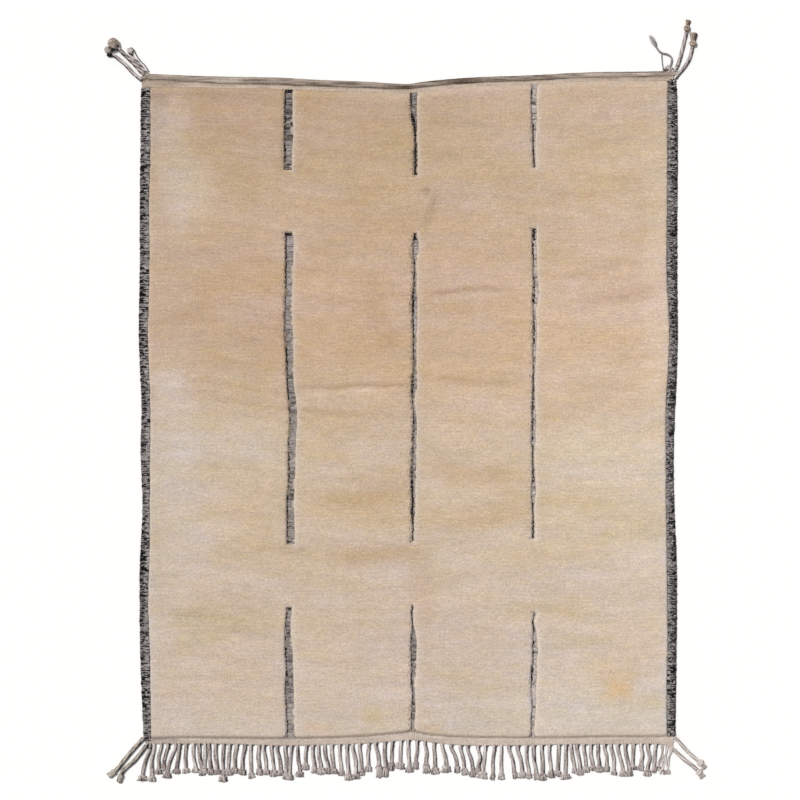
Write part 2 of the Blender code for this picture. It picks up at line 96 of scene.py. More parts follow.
def noise2(x, y, scale_x, scale_y, seed):
    """Smooth noise from -1 to 1 with cells of that many metres."""
    lattice = np.random.default_rng(seed).uniform(-1, 1, (512, 512))
    u, v = np.asarray(x) / scale_x + 171.3, np.asarray(y) / scale_y + 143.7
    i, j = np.floor(u).astype(int), np.floor(v).astype(int)
    fu, fv = u - i, v - j
    fu, fv = fu * fu * (3 - 2 * fu), fv * fv * (3 - 2 * fv)
    a, b = lattice[i % 512, j % 512], lattice[(i + 1) % 512, j % 512]
    c, d = lattice[i % 512, (j + 1) % 512], lattice[(i + 1) % 512, (j + 1) % 512]
    return (a * (1 - fu) + b * fu) * (1 - fv) + (c * (1 - fu) + d * fu) * fv


def noise1(x, scale, seed):
    return noise2(x, np.zeros_like(x), scale, 1.0, seed)


def step(low, high, x):
    t = np.clip((x - low) / (high - low), 0, 1)
    return t * t * (3 - 2 * t)


class Body:
    """Collects points, faces and a tone per point, and becomes one mesh."""

    def __init__(self):
        self.points, self.quads, self.tris, self.tones, self.count = [], [], [], [], 0

    def put(self, points, tone=0.5):
        points = np.asarray(points, float).reshape(-1, 3)
        start = self.count
        self.points.append(points)
        self.tones.append(np.broadcast_to(np.asarray(tone, float), (len(points),)).copy())
        self.count += len(points)
        return start

    def grid(self, points, tone=0.5, wrap=False, start_cap=False, end_cap=False):
        """Sections by places: points of shape (sections, places, 3)."""
        points = np.asarray(points, float)
        s, n = points.shape[:2]
        tone = np.broadcast_to(np.asarray(tone, float), (s, n)).reshape(-1)
        start = self.put(points, tone)
        index = start + np.arange(s * n).reshape(s, n)
        if wrap:
            index = np.concatenate([index, index[:, :1]], 1)
        a, b = index[:-1, :-1], index[:-1, 1:]
        c, d = index[1:, 1:], index[1:, :-1]
        self.quads.append(np.stack([a, b, c, d], -1).reshape(-1, 4))
        ring = np.arange(n)
        tone = tone.reshape(s, n)
        if start_cap:
            middle = self.put(points[0].mean(0), tone[0].mean())
            self.tris.append(np.stack([np.full(n, middle), start + np.roll(ring, -1), start + ring], -1))
        if end_cap:
            last = start + (s - 1) * n
            middle = self.put(points[-1].mean(0), tone[-1].mean())
            self.tris.append(np.stack([np.full(n, middle), last + ring, last + np.roll(ring, -1)], -1))
        return start

    def many(self, points, tone=0.5):
        """Many small closed shapes at once: points of shape (shapes, sections, places, 3), each ending in a tip."""
        count, s, n = points.shape[:3]
        tone = np.broadcast_to(np.asarray(tone, float).reshape(-1, 1), (count, s * n)).reshape(-1)
        start = self.put(points, tone)
        index = start + np.arange(count * s * n).reshape(count, s, n)
        wrapped = np.concatenate([index, index[:, :, :1]], 2)
        a, b, c, d = wrapped[:, :-1, :-1], wrapped[:, :-1, 1:], wrapped[:, 1:, 1:], wrapped[:, 1:, :-1]
        self.quads.append(np.stack([a, b, c, d], -1).reshape(-1, 4))
        for k, turned in ((0, True), (s - 1, False)):
            middle = self.put(points[:, k].mean(1), tone.reshape(count, s * n)[:, 0])
            middle = (middle + np.arange(count))[:, None] + np.zeros((1, n), int)
            ring, after = index[:, k], np.roll(index[:, k], -1, 1)
            self.tris.append(np.stack([middle, after, ring] if turned else [middle, ring, after], -1).reshape(-1, 3))

    def build(self, name, material, colour=None, flip=False):
        points = np.concatenate(self.points)
        quads = np.concatenate(self.quads) if self.quads else np.zeros((0, 4), int)
        tris = np.concatenate(self.tris) if self.tris else np.zeros((0, 3), int)
        if flip:
            quads, tris = quads[:, ::-1], tris[:, ::-1]
        mesh = bpy.data.meshes.new(name)
        mesh.vertices.add(len(points))
        mesh.vertices.foreach_set("co", points.astype(np.float32).reshape(-1))
        loops = np.concatenate([quads.reshape(-1), tris.reshape(-1)])
        mesh.loops.add(len(loops))
        mesh.loops.foreach_set("vertex_index", loops.astype(np.int32))
        starts = np.concatenate([np.arange(len(quads)) * 4, len(quads) * 4 + np.arange(len(tris)) * 3])
        mesh.polygons.add(len(starts))
        mesh.polygons.foreach_set("loop_start", starts.astype(np.int32))
        mesh.update(calc_edges=True)
        mesh.validate()
        mesh.shade_smooth()
        tones = mesh.attributes.new("tone", "FLOAT", "POINT")
        tones.data.foreach_set("value", np.concatenate(self.tones).astype(np.float32))
        if colour is not None:
            attribute = mesh.color_attributes.new("tint", "FLOAT_COLOR", "POINT")
            rgba = np.ones((len(points), 4), np.float32)
            rgba[:, :3] = colour
            attribute.data.foreach_set("color", rgba.reshape(-1))
        mesh.materials.append(material)
        made = bpy.data.objects.new(name, mesh)
        bpy.context.collection.objects.link(made)
        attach(made, "root")
        return made


# ---------------------------------------------------------------- wool, as node materials
def new_material(name, roughness, sheen, sheen_tint):
    material = bpy.data.materials.new(name)
    material.use_nodes = True
    tree = material.node_tree
    shader = tree.nodes["Principled BSDF"]
    shader.inputs["Roughness"].default_value = roughness
    shader.inputs["Specular IOR Level"].default_value = 0.12
    shader.inputs["Sheen Weight"].default_value = sheen
    shader.inputs["Sheen Roughness"].default_value = 0.55
    shader.inputs["Sheen Tint"].default_value = (*sheen_tint, 1)
    return material, tree, shader


def node(tree, kind, **inputs):
    made = tree.nodes.new(kind)
    for name, value in inputs.items():
        name = name.replace("_", " ")
        if isinstance(value, bpy.types.NodeSocket):
            tree.links.new(value, made.inputs[name])
        else:
            made.inputs[name].default_value = value
    return made


def noise_of(tree, where, scale, detail=3.0, roughness=0.6):
    made = node(tree, "ShaderNodeTexNoise", Vector=where, Scale=scale, Detail=detail, Roughness=roughness)
    return made.outputs["Fac"]


def stretched(tree, where, x, y, z):
    made = tree.nodes.new("ShaderNodeMapping")
    made.inputs["Scale"].default_value = (x, y, z)
    tree.links.new(where, made.inputs["Vector"])
    return made.outputs["Vector"]


def between(tree, value, low, high, to_low, to_high):
    made = node(tree, "ShaderNodeMapRange")
    made.clamp = True
    tree.links.new(value, made.inputs["Value"])
    for name, number in (("From Min", low), ("From Max", high), ("To Min", to_low), ("To Max", to_high)):
        made.inputs[name].default_value = number
    return made.outputs["Result"]


def math_node(tree, operation, a, b):
    made = tree.nodes.new("ShaderNodeMath")
    made.operation = operation
    for socket, value in zip(made.inputs, (a, b)):
        if isinstance(value, bpy.types.NodeSocket):
            tree.links.new(value, socket)
        else:
            socket.default_value = value
    return made.outputs[0]


def mix_colour(tree, kind, factor, a, b):
    made = tree.nodes.new("ShaderNodeMix")
    made.data_type = "RGBA"
    made.blend_type = kind
    for socket, value in ((made.inputs[0], factor), (made.inputs[6], a), (made.inputs[7], b)):
        if isinstance(value, bpy.types.NodeSocket):
            tree.links.new(value, socket)
        elif isinstance(value, tuple):
            socket.default_value = (*value, 1)
        else:
            socket.default_value = value
    return made.outputs[2]


def grey(tree, value):
    made = tree.nodes.new("ShaderNodeCombineColor")
    for socket in made.inputs[:3]:
        tree.links.new(value, socket)
    return made.outputs[0]


def bump(tree, shader, height, distance, strength):
    made = tree.nodes.new("ShaderNodeBump")
    made.inputs["Distance"].default_value = distance
    made.inputs["Strength"].default_value = strength
    tree.links.new(height, made.inputs["Height"])
    tree.links.new(made.outputs["Normal"], shader.inputs["Normal"])


def attribute(tree, name):
    made = tree.nodes.new("ShaderNodeAttribute")
    made.attribute_name = name
    return made


def object_place(tree):
    return tree.nodes.new("ShaderNodeTexCoord").outputs["Object"]


def pile_wool():
    """Cut pile: tones from the mesh, clouded and streaked, with the grain of tuft tips in faint cross rows."""
    material, tree, shader = new_material("pile wool", 0.95, 0.10, (0.95, 0.9, 0.82))
    where = object_place(tree)
    tint = attribute(tree, "tint").outputs["Color"]
    clouds = noise_of(tree, stretched(tree, where, 1, 1.7, 0.01), 13.0, 4.0, 0.62)
    streaks = noise_of(tree, stretched(tree, where, 1, 4.6, 0.01), 21.0, 3.0, 0.62)
    rows = node(tree, "ShaderNodeTexWave", Vector=where, Scale=19.5, Distortion=5.0, Detail=3.0, Detail_Scale=3.0)
    rows.bands_direction = "Y"
    shown = between(tree, noise_of(tree, where, 7.0, 2.0), 0.42, 0.62, 0.0, 1.0)
    rows = math_node(tree, "MULTIPLY", between(tree, rows.outputs["Fac"], 0.0, 1.0, -0.5, 0.5), shown)
    grain = noise_of(tree, stretched(tree, where, 1, 2.1, 1), 165.0, 2.0, 0.7)
    speck = noise_of(tree, where, 260.0, 1.0, 0.6)
    factor = math_node(tree, "MULTIPLY", between(tree, clouds, 0.3, 0.7, 0.965, 1.035), between(tree, streaks, 0.28, 0.72, 0.905, 1.09))
    factor = math_node(tree, "MULTIPLY", factor, between(tree, grain, 0.25, 0.75, 0.76, 1.23))
    factor = math_node(tree, "MULTIPLY", factor, between(tree, speck, 0.3, 0.7, 0.88, 1.12))
    curl = noise_of(tree, stretched(tree, where, 1, 2.0, 0.01), 62.0, 2.0, 0.6)
    factor = math_node(tree, "MULTIPLY", factor, between(tree, curl, 0.28, 0.72, 0.90, 1.10))
    factor = math_node(tree, "MULTIPLY", factor, between(tree, rows, -0.5, 0.5, 0.965, 1.035))
    colour = mix_colour(tree, "MULTIPLY", 1.0, tint, grey(tree, factor))
    # wool dyed by the sheep: pinker and greyer locks, and yellower ones
    pink = between(tree, noise_of(tree, stretched(tree, where, 1, 2.2, 0.01), 17.0, 1.2, 0.5), 0.45, 0.68, 0.0, 1.0)
    colour = mix_colour(tree, "MULTIPLY", pink, colour, (1.0, 0.987, 1.035))
    gold = between(tree, noise_of(tree, stretched(tree, where, 1.1, 2.6, 0.02), 12.0, 1.6, 0.5), 0.46, 0.68, 0.0, 1.0)
    colour = mix_colour(tree, "MULTIPLY", gold, colour, (1.008, 0.989, 0.92))
    tree.links.new(colour, shader.inputs["Base Color"])
    cells = node(tree, "ShaderNodeTexVoronoi", Vector=stretched(tree, where, 1, 1.8, 0.4), Scale=190.0, Randomness=1.0)
    fibre = noise_of(tree, where, 420.0, 2.0, 0.7)
    height = math_node(tree, "ADD", math_node(tree, "MULTIPLY", cells.outputs["Distance"], -0.9), math_node(tree, "MULTIPLY", fibre, 0.35))
    height = math_node(tree, "ADD", height, math_node(tree, "MULTIPLY", grain, 1.0))
    bump(tree, shader, height, 0.003, 0.42)
    return material


def yarn(name, dark, light, fibre_scale=500.0, contrast=1.0, roughness=0.9, along=(1, 1, 1), sheen=0.04, middle=None, tinted=False, black=0.0):
    """Spun yarn: tone from the mesh between a dark and a light wool, flecked, with a fine fibre grain."""
    material, tree, shader = new_material(name, roughness, sheen, (0.9, 0.88, 0.85))
    where = object_place(tree)
    tone = attribute(tree, "tone").outputs["Fac"]
    fleck = noise_of(tree, stretched(tree, where, *along), 130.0, 3.0, 0.7)
    tone = math_node(tree, "ADD", tone, between(tree, fleck, 0.25, 0.75, -0.16 * contrast, 0.16 * contrast))
    ramp = tree.nodes.new("ShaderNodeValToRGB")
    ramp.color_ramp.elements[0].color = (*dark, 1)
    ramp.color_ramp.elements[0].position = black
    ramp.color_ramp.elements[1].color = (*light, 1)
    if middle:
        ramp.color_ramp.elements.new(middle[0]).color = (*middle[1], 1)
    tree.links.new(tone, ramp.inputs["Fac"])
    shown = ramp.outputs["Color"]
    if tinted:
        shown = mix_colour(tree, "MULTIPLY", 1.0, shown, attribute(tree, "tint").outputs["Color"])
    tree.links.new(shown, shader.inputs["Base Color"])
    fibre = noise_of(tree, stretched(tree, where, *along), fibre_scale, 2.0, 0.75)
    bump(tree, shader, math_node(tree, "ADD", fibre, fleck), 0.0012, 0.6)
    return material


PILE_WOOL = pile_wool()
BINDING_WOOL = yarn("binding wool", linear(14, 13, 16), linear(203, 195, 193), 480.0, 0.9, black=0.05)
WEAVE_WOOL = yarn("ground weave wool", linear(12, 9, 11), linear(210, 199, 194), 480.0, 0.9, black=0.04)
BAND_WOOL = yarn("band wool", linear(80, 64, 54), linear(226, 211, 198), 520.0, 0.8)
TINTED_BAND_WOOL = yarn("top band wool", linear(80, 64, 54), linear(226, 211, 198), 520.0, 0.9, tinted=True)
CORD_WOOL = yarn("cord wool", linear(32, 23, 21), linear(237, 228, 224), 520.0, 1.25, middle=(0.36, linear(145, 133, 130)), black=0.10)
GREY_CORD_WOOL = yarn("grey cord wool", linear(20, 20, 23), linear(224, 218, 216), 520.0, 1.0, middle=(0.36, linear(134, 130, 130)), black=0.08)
WARM_CORD_WOOL = yarn("warm cord wool", linear(32, 22, 18), linear(236, 227, 220), 520.0, 1.25, middle=(0.36, linear(144, 132, 126)), black=0.10)
OLIVE_CORD_WOOL = yarn("olive cord wool", linear(22, 19, 15), linear(236, 228, 217), 520.0, 1.2, middle=(0.36, linear(142, 134, 125)), black=0.10)
BROWN_CORD_WOOL = yarn("brown cord wool", linear(34, 22, 16), linear(230, 215, 202), 520.0, 1.4, middle=(0.40, linear(140, 122, 110)), black=0.08)
BROWN_WOOL = yarn("brown wool", linear(52, 30, 24), linear(206, 178, 164), 520.0, 1.0)
DARK_WOOL = yarn("dark wool", linear(10, 9, 9), linear(120, 112, 108), 520.0, 0.7)

# ---------------------------------------------------------------- corner ties (routes as in the solids)
TIES = {
    "tie_tl_1": (18, ((-1207.2, 1524.2), (-1228, 1546), (-1252, 1574), (-1276, 1597), (-1301, 1621), (-1327, 1645))),
    "tie_tl_2": (17, ((-1220, 1500), (-1236, 1514), (-1261, 1536), (-1285, 1563), (-1309, 1585), (-1347, 1615))),
    "tie_tl_3": (11, ((-1197, 1536), (-1216, 1557.5), (-1239, 1585), (-1259, 1605), (-1271, 1621))),
    "tie_tl_3_strand": (6, ((-1186, 1539), (-1203, 1566), (-1226, 1590), (-1244, 1616), (-1252, 1635), (-1264, 1646), (-1276, 1643), (-1278.5, 1633), (-1271.8, 1622.2))),
    "tie_tr_1": (16, ((1208.4, 1547), (1221, 1575), (1232, 1610), (1241, 1645), (1248, 1676), (1255, 1703), (1258, 1719))),
    "tie_tr_2": (16, ((1208, 1508), (1219, 1524), (1235, 1542), (1256, 1569), (1272, 1597), (1281, 1626), (1286, 1652))),
    "tie_tr_3": (9, ((1180.5, 1557), (1190, 1574), (1193, 1593), (1187, 1608), (1170, 1618), (1146, 1624), (1129, 1640), (1120, 1654))),
    "tie_tr_3_leg": (5.5, ((1155, 1545), (1150, 1580), (1147, 1618.4))),
    "tie_bl_1": (19, ((-1211.5, -1492.5), (-1226, -1509), (-1249, -1534), (-1268, -1555), (-1288, -1580), (-1306, -1602), (-1324, -1626), (-1341, -1642))),
    "tie_bl_2": (18, ((-1200, -1527), (-1214, -1548), (-1234, -1574), (-1254, -1597), (-1275, -1615), (-1295, -1633), (-1307, -1647), (-1312, -1660))),
    "tie_br_1": (17, ((1207.5, -1490.5), (1223, -1507), (1238, -1524), (1257, -1545), (1276, -1564), (1296, -1581), (1312, -1595))),
    "tie_br_2": (18, ((1200, -1543), (1207, -1551), (1221, -1564), (1241, -1582), (1261, -1599), (1280, -1613), (1298, -1628), (1306, -1636))),
}
# Knot and tuft of each thick tie: half width and height of the knot, its length, then the
# tuft's length, half width at its end, turn against the tie in degrees, and number of cut ends.
KNOTS = {
    "tie_tl_1": (23, 30, 46, 6, 17, 60, 9),
    "tie_tl_2": (15, 22, 30, 8, 12, 0, 6),
    "tie_tr_1": (13.5, 21, 34, 24, 13, -6, 9),
    "tie_tr_2": (15.5, 22, 29, 38, 18.5, 4, 10),
    "tie_bl_1": (15.5, 19, 40, 0, 18, 0, 9),
    "tie_bl_2": (15.5, 19, 38, 0, 16, 0, 8),
    "tie_br_1": (15.5, 22, 24, 26, 15, -12, 9),
    "tie_br_2": (15, 22, 24, 24, 15, -6, 9),
}


def smooth_route(places, spacing):
    """Even points along a smooth curve through the places, in metres, on the plane."""
    places = np.array(places, float) * MM
    fine = []
    for i in range(len(places) - 1):
        p0, p1 = places[max(i - 1, 0)], places[i]
        p2, p3 = places[i + 1], places[min(i + 2, len(places) - 1)]
        for t in np.arange(24) / 24:
            fine.append(
                0.5 * (2 * p1 + (p2 - p0) * t + (2 * p0 - 5 * p1 + 4 * p2 - p3) * t**2 + (3 * p1 - p0 - 3 * p2 + p3) * t**3)
            )
    fine = np.array(fine + [places[-1]])
    lengths = np.concatenate([[0], np.cumsum(np.linalg.norm(np.diff(fine, axis=0), axis=1))])
    steps = max(3, int(round(lengths[-1] / spacing)))
    at = np.linspace(0, lengths[-1], steps + 1)
    return np.stack([np.interp(at, lengths, fine[:, k]) for k in (0, 1)], -1), lengths[-1]


SHADED_SIDE = np.array([0.74, -0.50, -0.45])    # the side away from the light, where the cords get painted shade


def rope(body, path, radius, lobes=3, depth=0.2, pitch=0.05, sides=18, phase=0.0, tone=0.5, tone_spread=0.12, seed=1, flat=1.0, rough=0.0, under=0.34, edge=(0.30, 0.62), away=SHADED_SIDE, dashes=0.0, groove_shade=0.50, rim=0.0):
    """A plied cord along a path: one closed skin whose plies show as lobes that turn with the pitch."""
    path = np.asarray(path, float)
    n = len(path)
    ahead = np.gradient(path, axis=0)
    ahead /= np.linalg.norm(ahead, axis=1)[:, None]
    up = np.tile([0.0, 0.0, 1.0], (n, 1))
    side = np.cross(ahead, up)
    side /= np.linalg.norm(side, axis=1)[:, None]
    up = np.cross(side, ahead)
    along = np.concatenate([[0], np.cumsum(np.linalg.norm(np.diff(path, axis=0), axis=1))])
    radius = np.broadcast_to(np.asarray(radius, float), (n,))
    angle = np.linspace(0, 2 * math.pi, sides, endpoint=False)[None, :] + np.zeros((n, 1))
    turn = phase + 2 * math.pi * along[:, None] / pitch
    lobe = np.abs(np.cos(lobes / 2 * (angle - turn)))
    rng = np.random.default_rng(seed)
    ply = np.floor((lobes * (angle - turn) / (2 * math.pi) + 0.5) % lobes).astype(int) % lobes
    shade = rng.uniform(-1, 1, lobes)[ply] * tone_spread
    r = radius[:, None] * (1 - depth + depth * lobe**0.7)
    if rough:
        r = r * (1 + rough * noise2(along[:, None] + seed, angle, 0.006, 0.5, seed + 3))
    points = (
        path[:, None, :]
        + side[:, None, :] * (r * np.cos(angle))[:, :, None]
        + up[:, None, :] * (r * np.sin(angle) * flat)[:, :, None]
    )
    points[:, :, 2] = np.maximum(points[:, :, 2], 0.3 * MM)
    streak = noise2(along[:, None] * 1.0 + 3.7 * seed, ply * 1.0 + angle * 0.0, 0.018, 1.0, seed + 11) * 0.07
    streak = streak + 0.09 * noise2(along[:, None] + 0.7 * seed, angle, 0.0075, 0.45, seed + 12)
    outward = side[:, None, :] * np.cos(angle)[:, :, None] + up[:, None, :] * np.sin(angle)[:, :, None]
    # painted shade on the side facing away, with an uneven edge, broken into dashes where dashes is set
    unevenness = 0.22 * noise2(along[:, None] + seed, angle, 0.012, 0.6, seed + 5)
    shade_mask = step(edge[0], edge[1], outward @ away + unevenness)
    if dashes:
        shade_mask = shade_mask * np.clip(1 - dashes + dashes * 2.2 * (0.5 + noise1(along + 0.31 * seed, 0.013, seed + 6)[:, None]), 0, 1)
    # the ply's own colour and streaks, less painted shade in the grooves between plies, on the side facing away and
    # along both flanks of the cord
    shade = tone + shade + streak - groove_shade * (1 - lobe) ** 1.6 - under * shade_mask - rim * step(0.92, 0.55, outward[:, :, 2])
    body.grid(points, shade, wrap=True, start_cap=True, end_cap=True)


def strand(body, points, radius, tone, sides=6, taper=0.55):
    points = np.asarray(points, float)
    n = len(points)
    ahead = np.gradient(points, axis=0)
    ahead /= np.linalg.norm(ahead, axis=1)[:, None] + 1e-12
    side = np.cross(ahead, [0.0, 0.0, 1.0])
    side /= np.linalg.norm(side, axis=1)[:, None] + 1e-12
    up = np.cross(side, ahead)
    r = radius * np.linspace(1, taper, n)
    angle = np.linspace(0, 2 * math.pi, sides, endpoint=False)
    ring = side[:, None, :] * np.cos(angle)[None, :, None] + up[:, None, :] * np.sin(angle)[None, :, None]
    body.grid(points[:, None, :] + ring * r[:, None, None], tone, wrap=True, start_cap=True, end_cap=True)


def knot_and_tuft(body, at, heading, cord_radius, half, high, long, tuft, tuft_half, turn, ends, tone, seed, fine=1.0):
    """An overhand knot that a cord's own end is wound into, and the cut ends that flare out of it."""
    rng = np.random.default_rng(seed)
    ahead = np.array([math.cos(heading), math.sin(heading), 0.0])
    side = np.array([-ahead[1], ahead[0], 0.0])
    up = np.array([0.0, 0.0, 1.0])
    middle = np.array([at[0], at[1], 0.0]) + ahead * long / 2 + up * high / 2
    # the core, darker with painted shade as it lies under the turns that wrap it
    sections, sides = max(5, int(9 * fine)), max(8, int(16 * fine))
    s = np.linspace(-1, 1, sections)
    swell = np.sqrt(np.clip(1 - 0.72 * s**2, 0.05, 1))
    angle = np.linspace(0, 2 * math.pi, sides, endpoint=False)
    lump = 1 + 0.06 * noise2(s[:, None] * 0.01 + seed, angle[None, :], 0.006, 1.1, seed)
    core = (
        middle
        + ahead * (s * long * 0.5)[:, None, None]
        + side * ((swell[:, None] * half * 0.84 * lump) * np.cos(angle))[:, :, None]
        + up * ((swell[:, None] * high * 0.42 * lump) * np.sin(angle))[:, :, None]
    )
    body.grid(core, tone - 0.22, wrap=True, start_cap=True, end_cap=True)
    # the turns that wrap it
    tube = min(0.30 * high, 0.36 * half)
    for start, lean in ((0.3, 1.0), (2.2, -1.0)):
        t = np.linspace(0, 2 * math.pi, max(12, int(26 * fine)))
        a = t + start
        radial_side, radial_up = (half - 0.75 * tube), (high / 2 - 0.85 * tube)
        offset = lean * np.sin(a) * long * 0.24
        loop = (
            middle
            + ahead * offset[:, None]
            + side * (radial_side * np.cos(a))[:, None]
            + up * (radial_up * np.sin(a))[:, None]
        )
        n, m = len(loop) - 1, max(6, int(10 * fine))
        loop = loop[:-1]
        tangent = np.roll(loop, -1, 0) - np.roll(loop, 1, 0)
        tangent /= np.linalg.norm(tangent, axis=1)[:, None]
        outward = loop - middle
        outward -= (outward * tangent).sum(1)[:, None] * tangent
        outward /= np.linalg.norm(outward, axis=1)[:, None]
        third = np.cross(tangent, outward)
        b = np.linspace(0, 2 * math.pi, m, endpoint=False)
        r = tube * (1 + 0.08 * np.cos(2 * b[None, :] - 3 * a[:-1, None]))
        ring = loop[:, None, :] + outward[:, None, :] * (r * np.cos(b))[:, :, None] + third[:, None, :] * (r * np.sin(b))[:, :, None]
        ring[:, :, 2] = np.maximum(ring[:, :, 2], 0.0004)
        ring = np.concatenate([ring, ring[:1]], 0)
        # painted shade on the turns' side away from the light
        shade_mask = step(0.1, 0.75, (ring[:-1] - middle) @ SHADED_SIDE / half)
        body.grid(ring[:-1], tone + 0.06 * lean * np.sin(b)[None, :] - 0.30 * shade_mask, wrap=True)
        # close the loop between its last and first sections
        first = body.count - n * m
        a0 = first + (n - 1) * m + np.arange(m)
        a1 = first + np.arange(m)
        body.quads.append(np.stack([a0, np.roll(a0, -1), np.roll(a1, -1), a1], -1))
    # the cut ends
    exit_at = np.array([at[0], at[1], 0.0]) + ahead * long * 0.82
    turned = heading + math.radians(turn)
    out = np.array([math.cos(turned), math.sin(turned), 0.0])
    across = np.array([-out[1], out[0], 0.0])
    thick = max(0.0016, tuft_half / ends * 1.7)
    for k in range(ends):
        spread = (k + 0.5) / ends * 2 - 1
        layer = (k % 3) / 2.0
        reach = (tuft + 0.18 * long) * (1 - 0.16 * spread**2) * rng.uniform(0.88, 1.05)
        steps = np.linspace(0, 1, 5)
        wobble = rng.uniform(-0.12, 0.12)
        height = high * (0.22 + 0.42 * layer)
        line = (
            exit_at
            + out * (steps * reach)[:, None]
            + across * (spread * (0.45 * half + (tuft_half - 0.45 * half) * steps**0.8) + wobble * tuft_half * steps**2)[:, None]
            + up * np.maximum(height * (1 - 0.62 * steps), thick * 1.02)[:, None]
        )
        # cut ends on the side away from the light get painted shade
        shade = tone + rng.uniform(-0.16, 0.12) - 0.28 * (spread * (across @ SHADED_SIDE) > 0.35)
        strand(body, line, thick, shade, sides=max(5, int(7 * fine)), taper=0.8)


def bell(body, at, heading, neck, half, high, long, ends, tone, seed, sides=6, wisp=0):
    """A knotted end that opens like a bell: thick cut ends side by side in two layers, over a small hidden knot."""
    rng = np.random.default_rng(seed)
    out = np.array([math.cos(heading), math.sin(heading), 0.0])
    across = np.array([-out[1], out[0], 0.0])
    up = np.array([0.0, 0.0, 1.0])
    start = np.array([at[0], at[1], 0.0]) - out * neck * 0.5
    # the knot under the ends, a little wider than the cord
    s = np.linspace(-1, 1, 7)
    swell = np.sqrt(np.clip(1 - 0.8 * s**2, 0.05, 1))
    angle = np.linspace(0, 2 * math.pi, 12, endpoint=False)
    centre = start + out * long * 0.30 + up * high * 0.53
    wide = neck + (half - neck) * 0.58
    lump = 1 + 0.10 * noise2(s[:, None] * 0.01 + seed, angle[None, :], 0.005, 1.0, seed)
    core = (
        centre
        + out * (s * long * 0.33)[:, None, None]
        + across * (wide * swell[:, None] * np.cos(angle) * lump)[:, :, None]
        + up * (high * 0.52 * swell[:, None] * np.sin(angle) * lump)[:, :, None]
    )
    # painted shade in the knot's seam and on its side away from the light
    seam = np.exp(-((np.sin(angle[None, :] + rng.choice([-1, 1]) * 1.7 * s[:, None] + 0.4 * seed) / 0.24) ** 2))
    body.grid(core, tone - 0.02 - 0.30 * seam - 0.30 * step(0.45, 0.85, np.cos(angle)[None, :] * (across @ SHADED_SIDE) + 0 * s[:, None]), wrap=True, start_cap=True, end_cap=True)
    thick = max(0.0014, half / ends * 1.25)
    for layer in (0, 1):
        count = ends - layer
        for k in range(count):
            spread = ((k + 0.5) / count * 2 - 1) * (0.98 - 0.16 * layer) + rng.uniform(-0.05, 0.05)
            reach = (long + neck * 0.5) * (1 - 0.10 * spread**2 - 0.05 * layer) * rng.uniform(0.88, 1.04)
            t = np.linspace(0, 1, 6)
            sideways = spread * (neck * 0.78 + (half - neck * 0.78 - thick * 0.6) * t**0.85) + rng.uniform(-0.06, 0.06) * half * t**2
            height = high * (0.34 + 0.30 * layer) * (1 + 0.5 * np.sin(math.pi * np.clip(t * 1.1, 0, 1))) * (1 - 0.40 * t)
            line = start + out * (t * reach)[:, None] + across * sideways[:, None] + up * np.maximum(height, thick * 1.03)[:, None]
            # ends on the side away from the light get painted shade; a few ends are darker wool
            shade = tone + rng.uniform(-0.32, 0.18) - 0.22 * (spread * (across @ SHADED_SIDE) > 0.62) - (0.28 if rng.random() < 0.12 else 0)
            strand(body, line, thick * rng.uniform(0.9, 1.1), shade, sides=sides, taper=0.86)
    for _ in range(wisp):
        base = start + out * long * 0.8 + across * rng.uniform(-0.6, 0.6) * half + up * 0.003
        turn = heading + rng.uniform(-0.8, 0.8)
        t = np.linspace(0, 1, 4)
        line = base + np.array([math.cos(turn), math.sin(turn), 0.0]) * (t * rng.uniform(0.008, 0.016))[:, None]
        strand(body, line, 0.0009, tone, sides=4, taper=0.3)


def tangle(body, x, y, rx, ry, count, radius, high, tone, spread, seed, turns=0.6, length=0.03):
    """Short ends of yarn that curl about in a small patch."""
    rng = np.random.default_rng(seed)
    for _ in range(count):
        a, r = rng.uniform(0, 2 * math.pi), math.sqrt(rng.uniform(0, 1))
        at = np.array([x * MM + rx * MM * r * math.cos(a), y * MM + ry * MM * r * math.sin(a)])
        turn, bend = rng.uniform(0, 2 * math.pi), rng.choice([-1, 1]) * rng.uniform(0.5, 1.0) * turns * 2 * math.pi
        t = np.linspace(0, 1, 9)
        steps = np.stack([np.cos(turn + bend * t), np.sin(turn + bend * t)], -1) * length * rng.uniform(0.6, 1.1) / 8
        flat = at + np.cumsum(steps, axis=0) - steps.sum(0) / 2
        z = np.maximum(high * MM * (rng.uniform(0.3, 1.0) + 0.25 * np.sin(math.pi * t)), radius * MM * 1.05)
        strand(body, np.column_stack([flat, z]), radius * MM, tone + rng.uniform(-spread, spread), sides=6, taper=0.75)


# the side on which the top-left cords get their painted shade: their lower left
TOP_LEFT_SHADED_SIDE = np.array([-0.62, -0.66, -0.42])
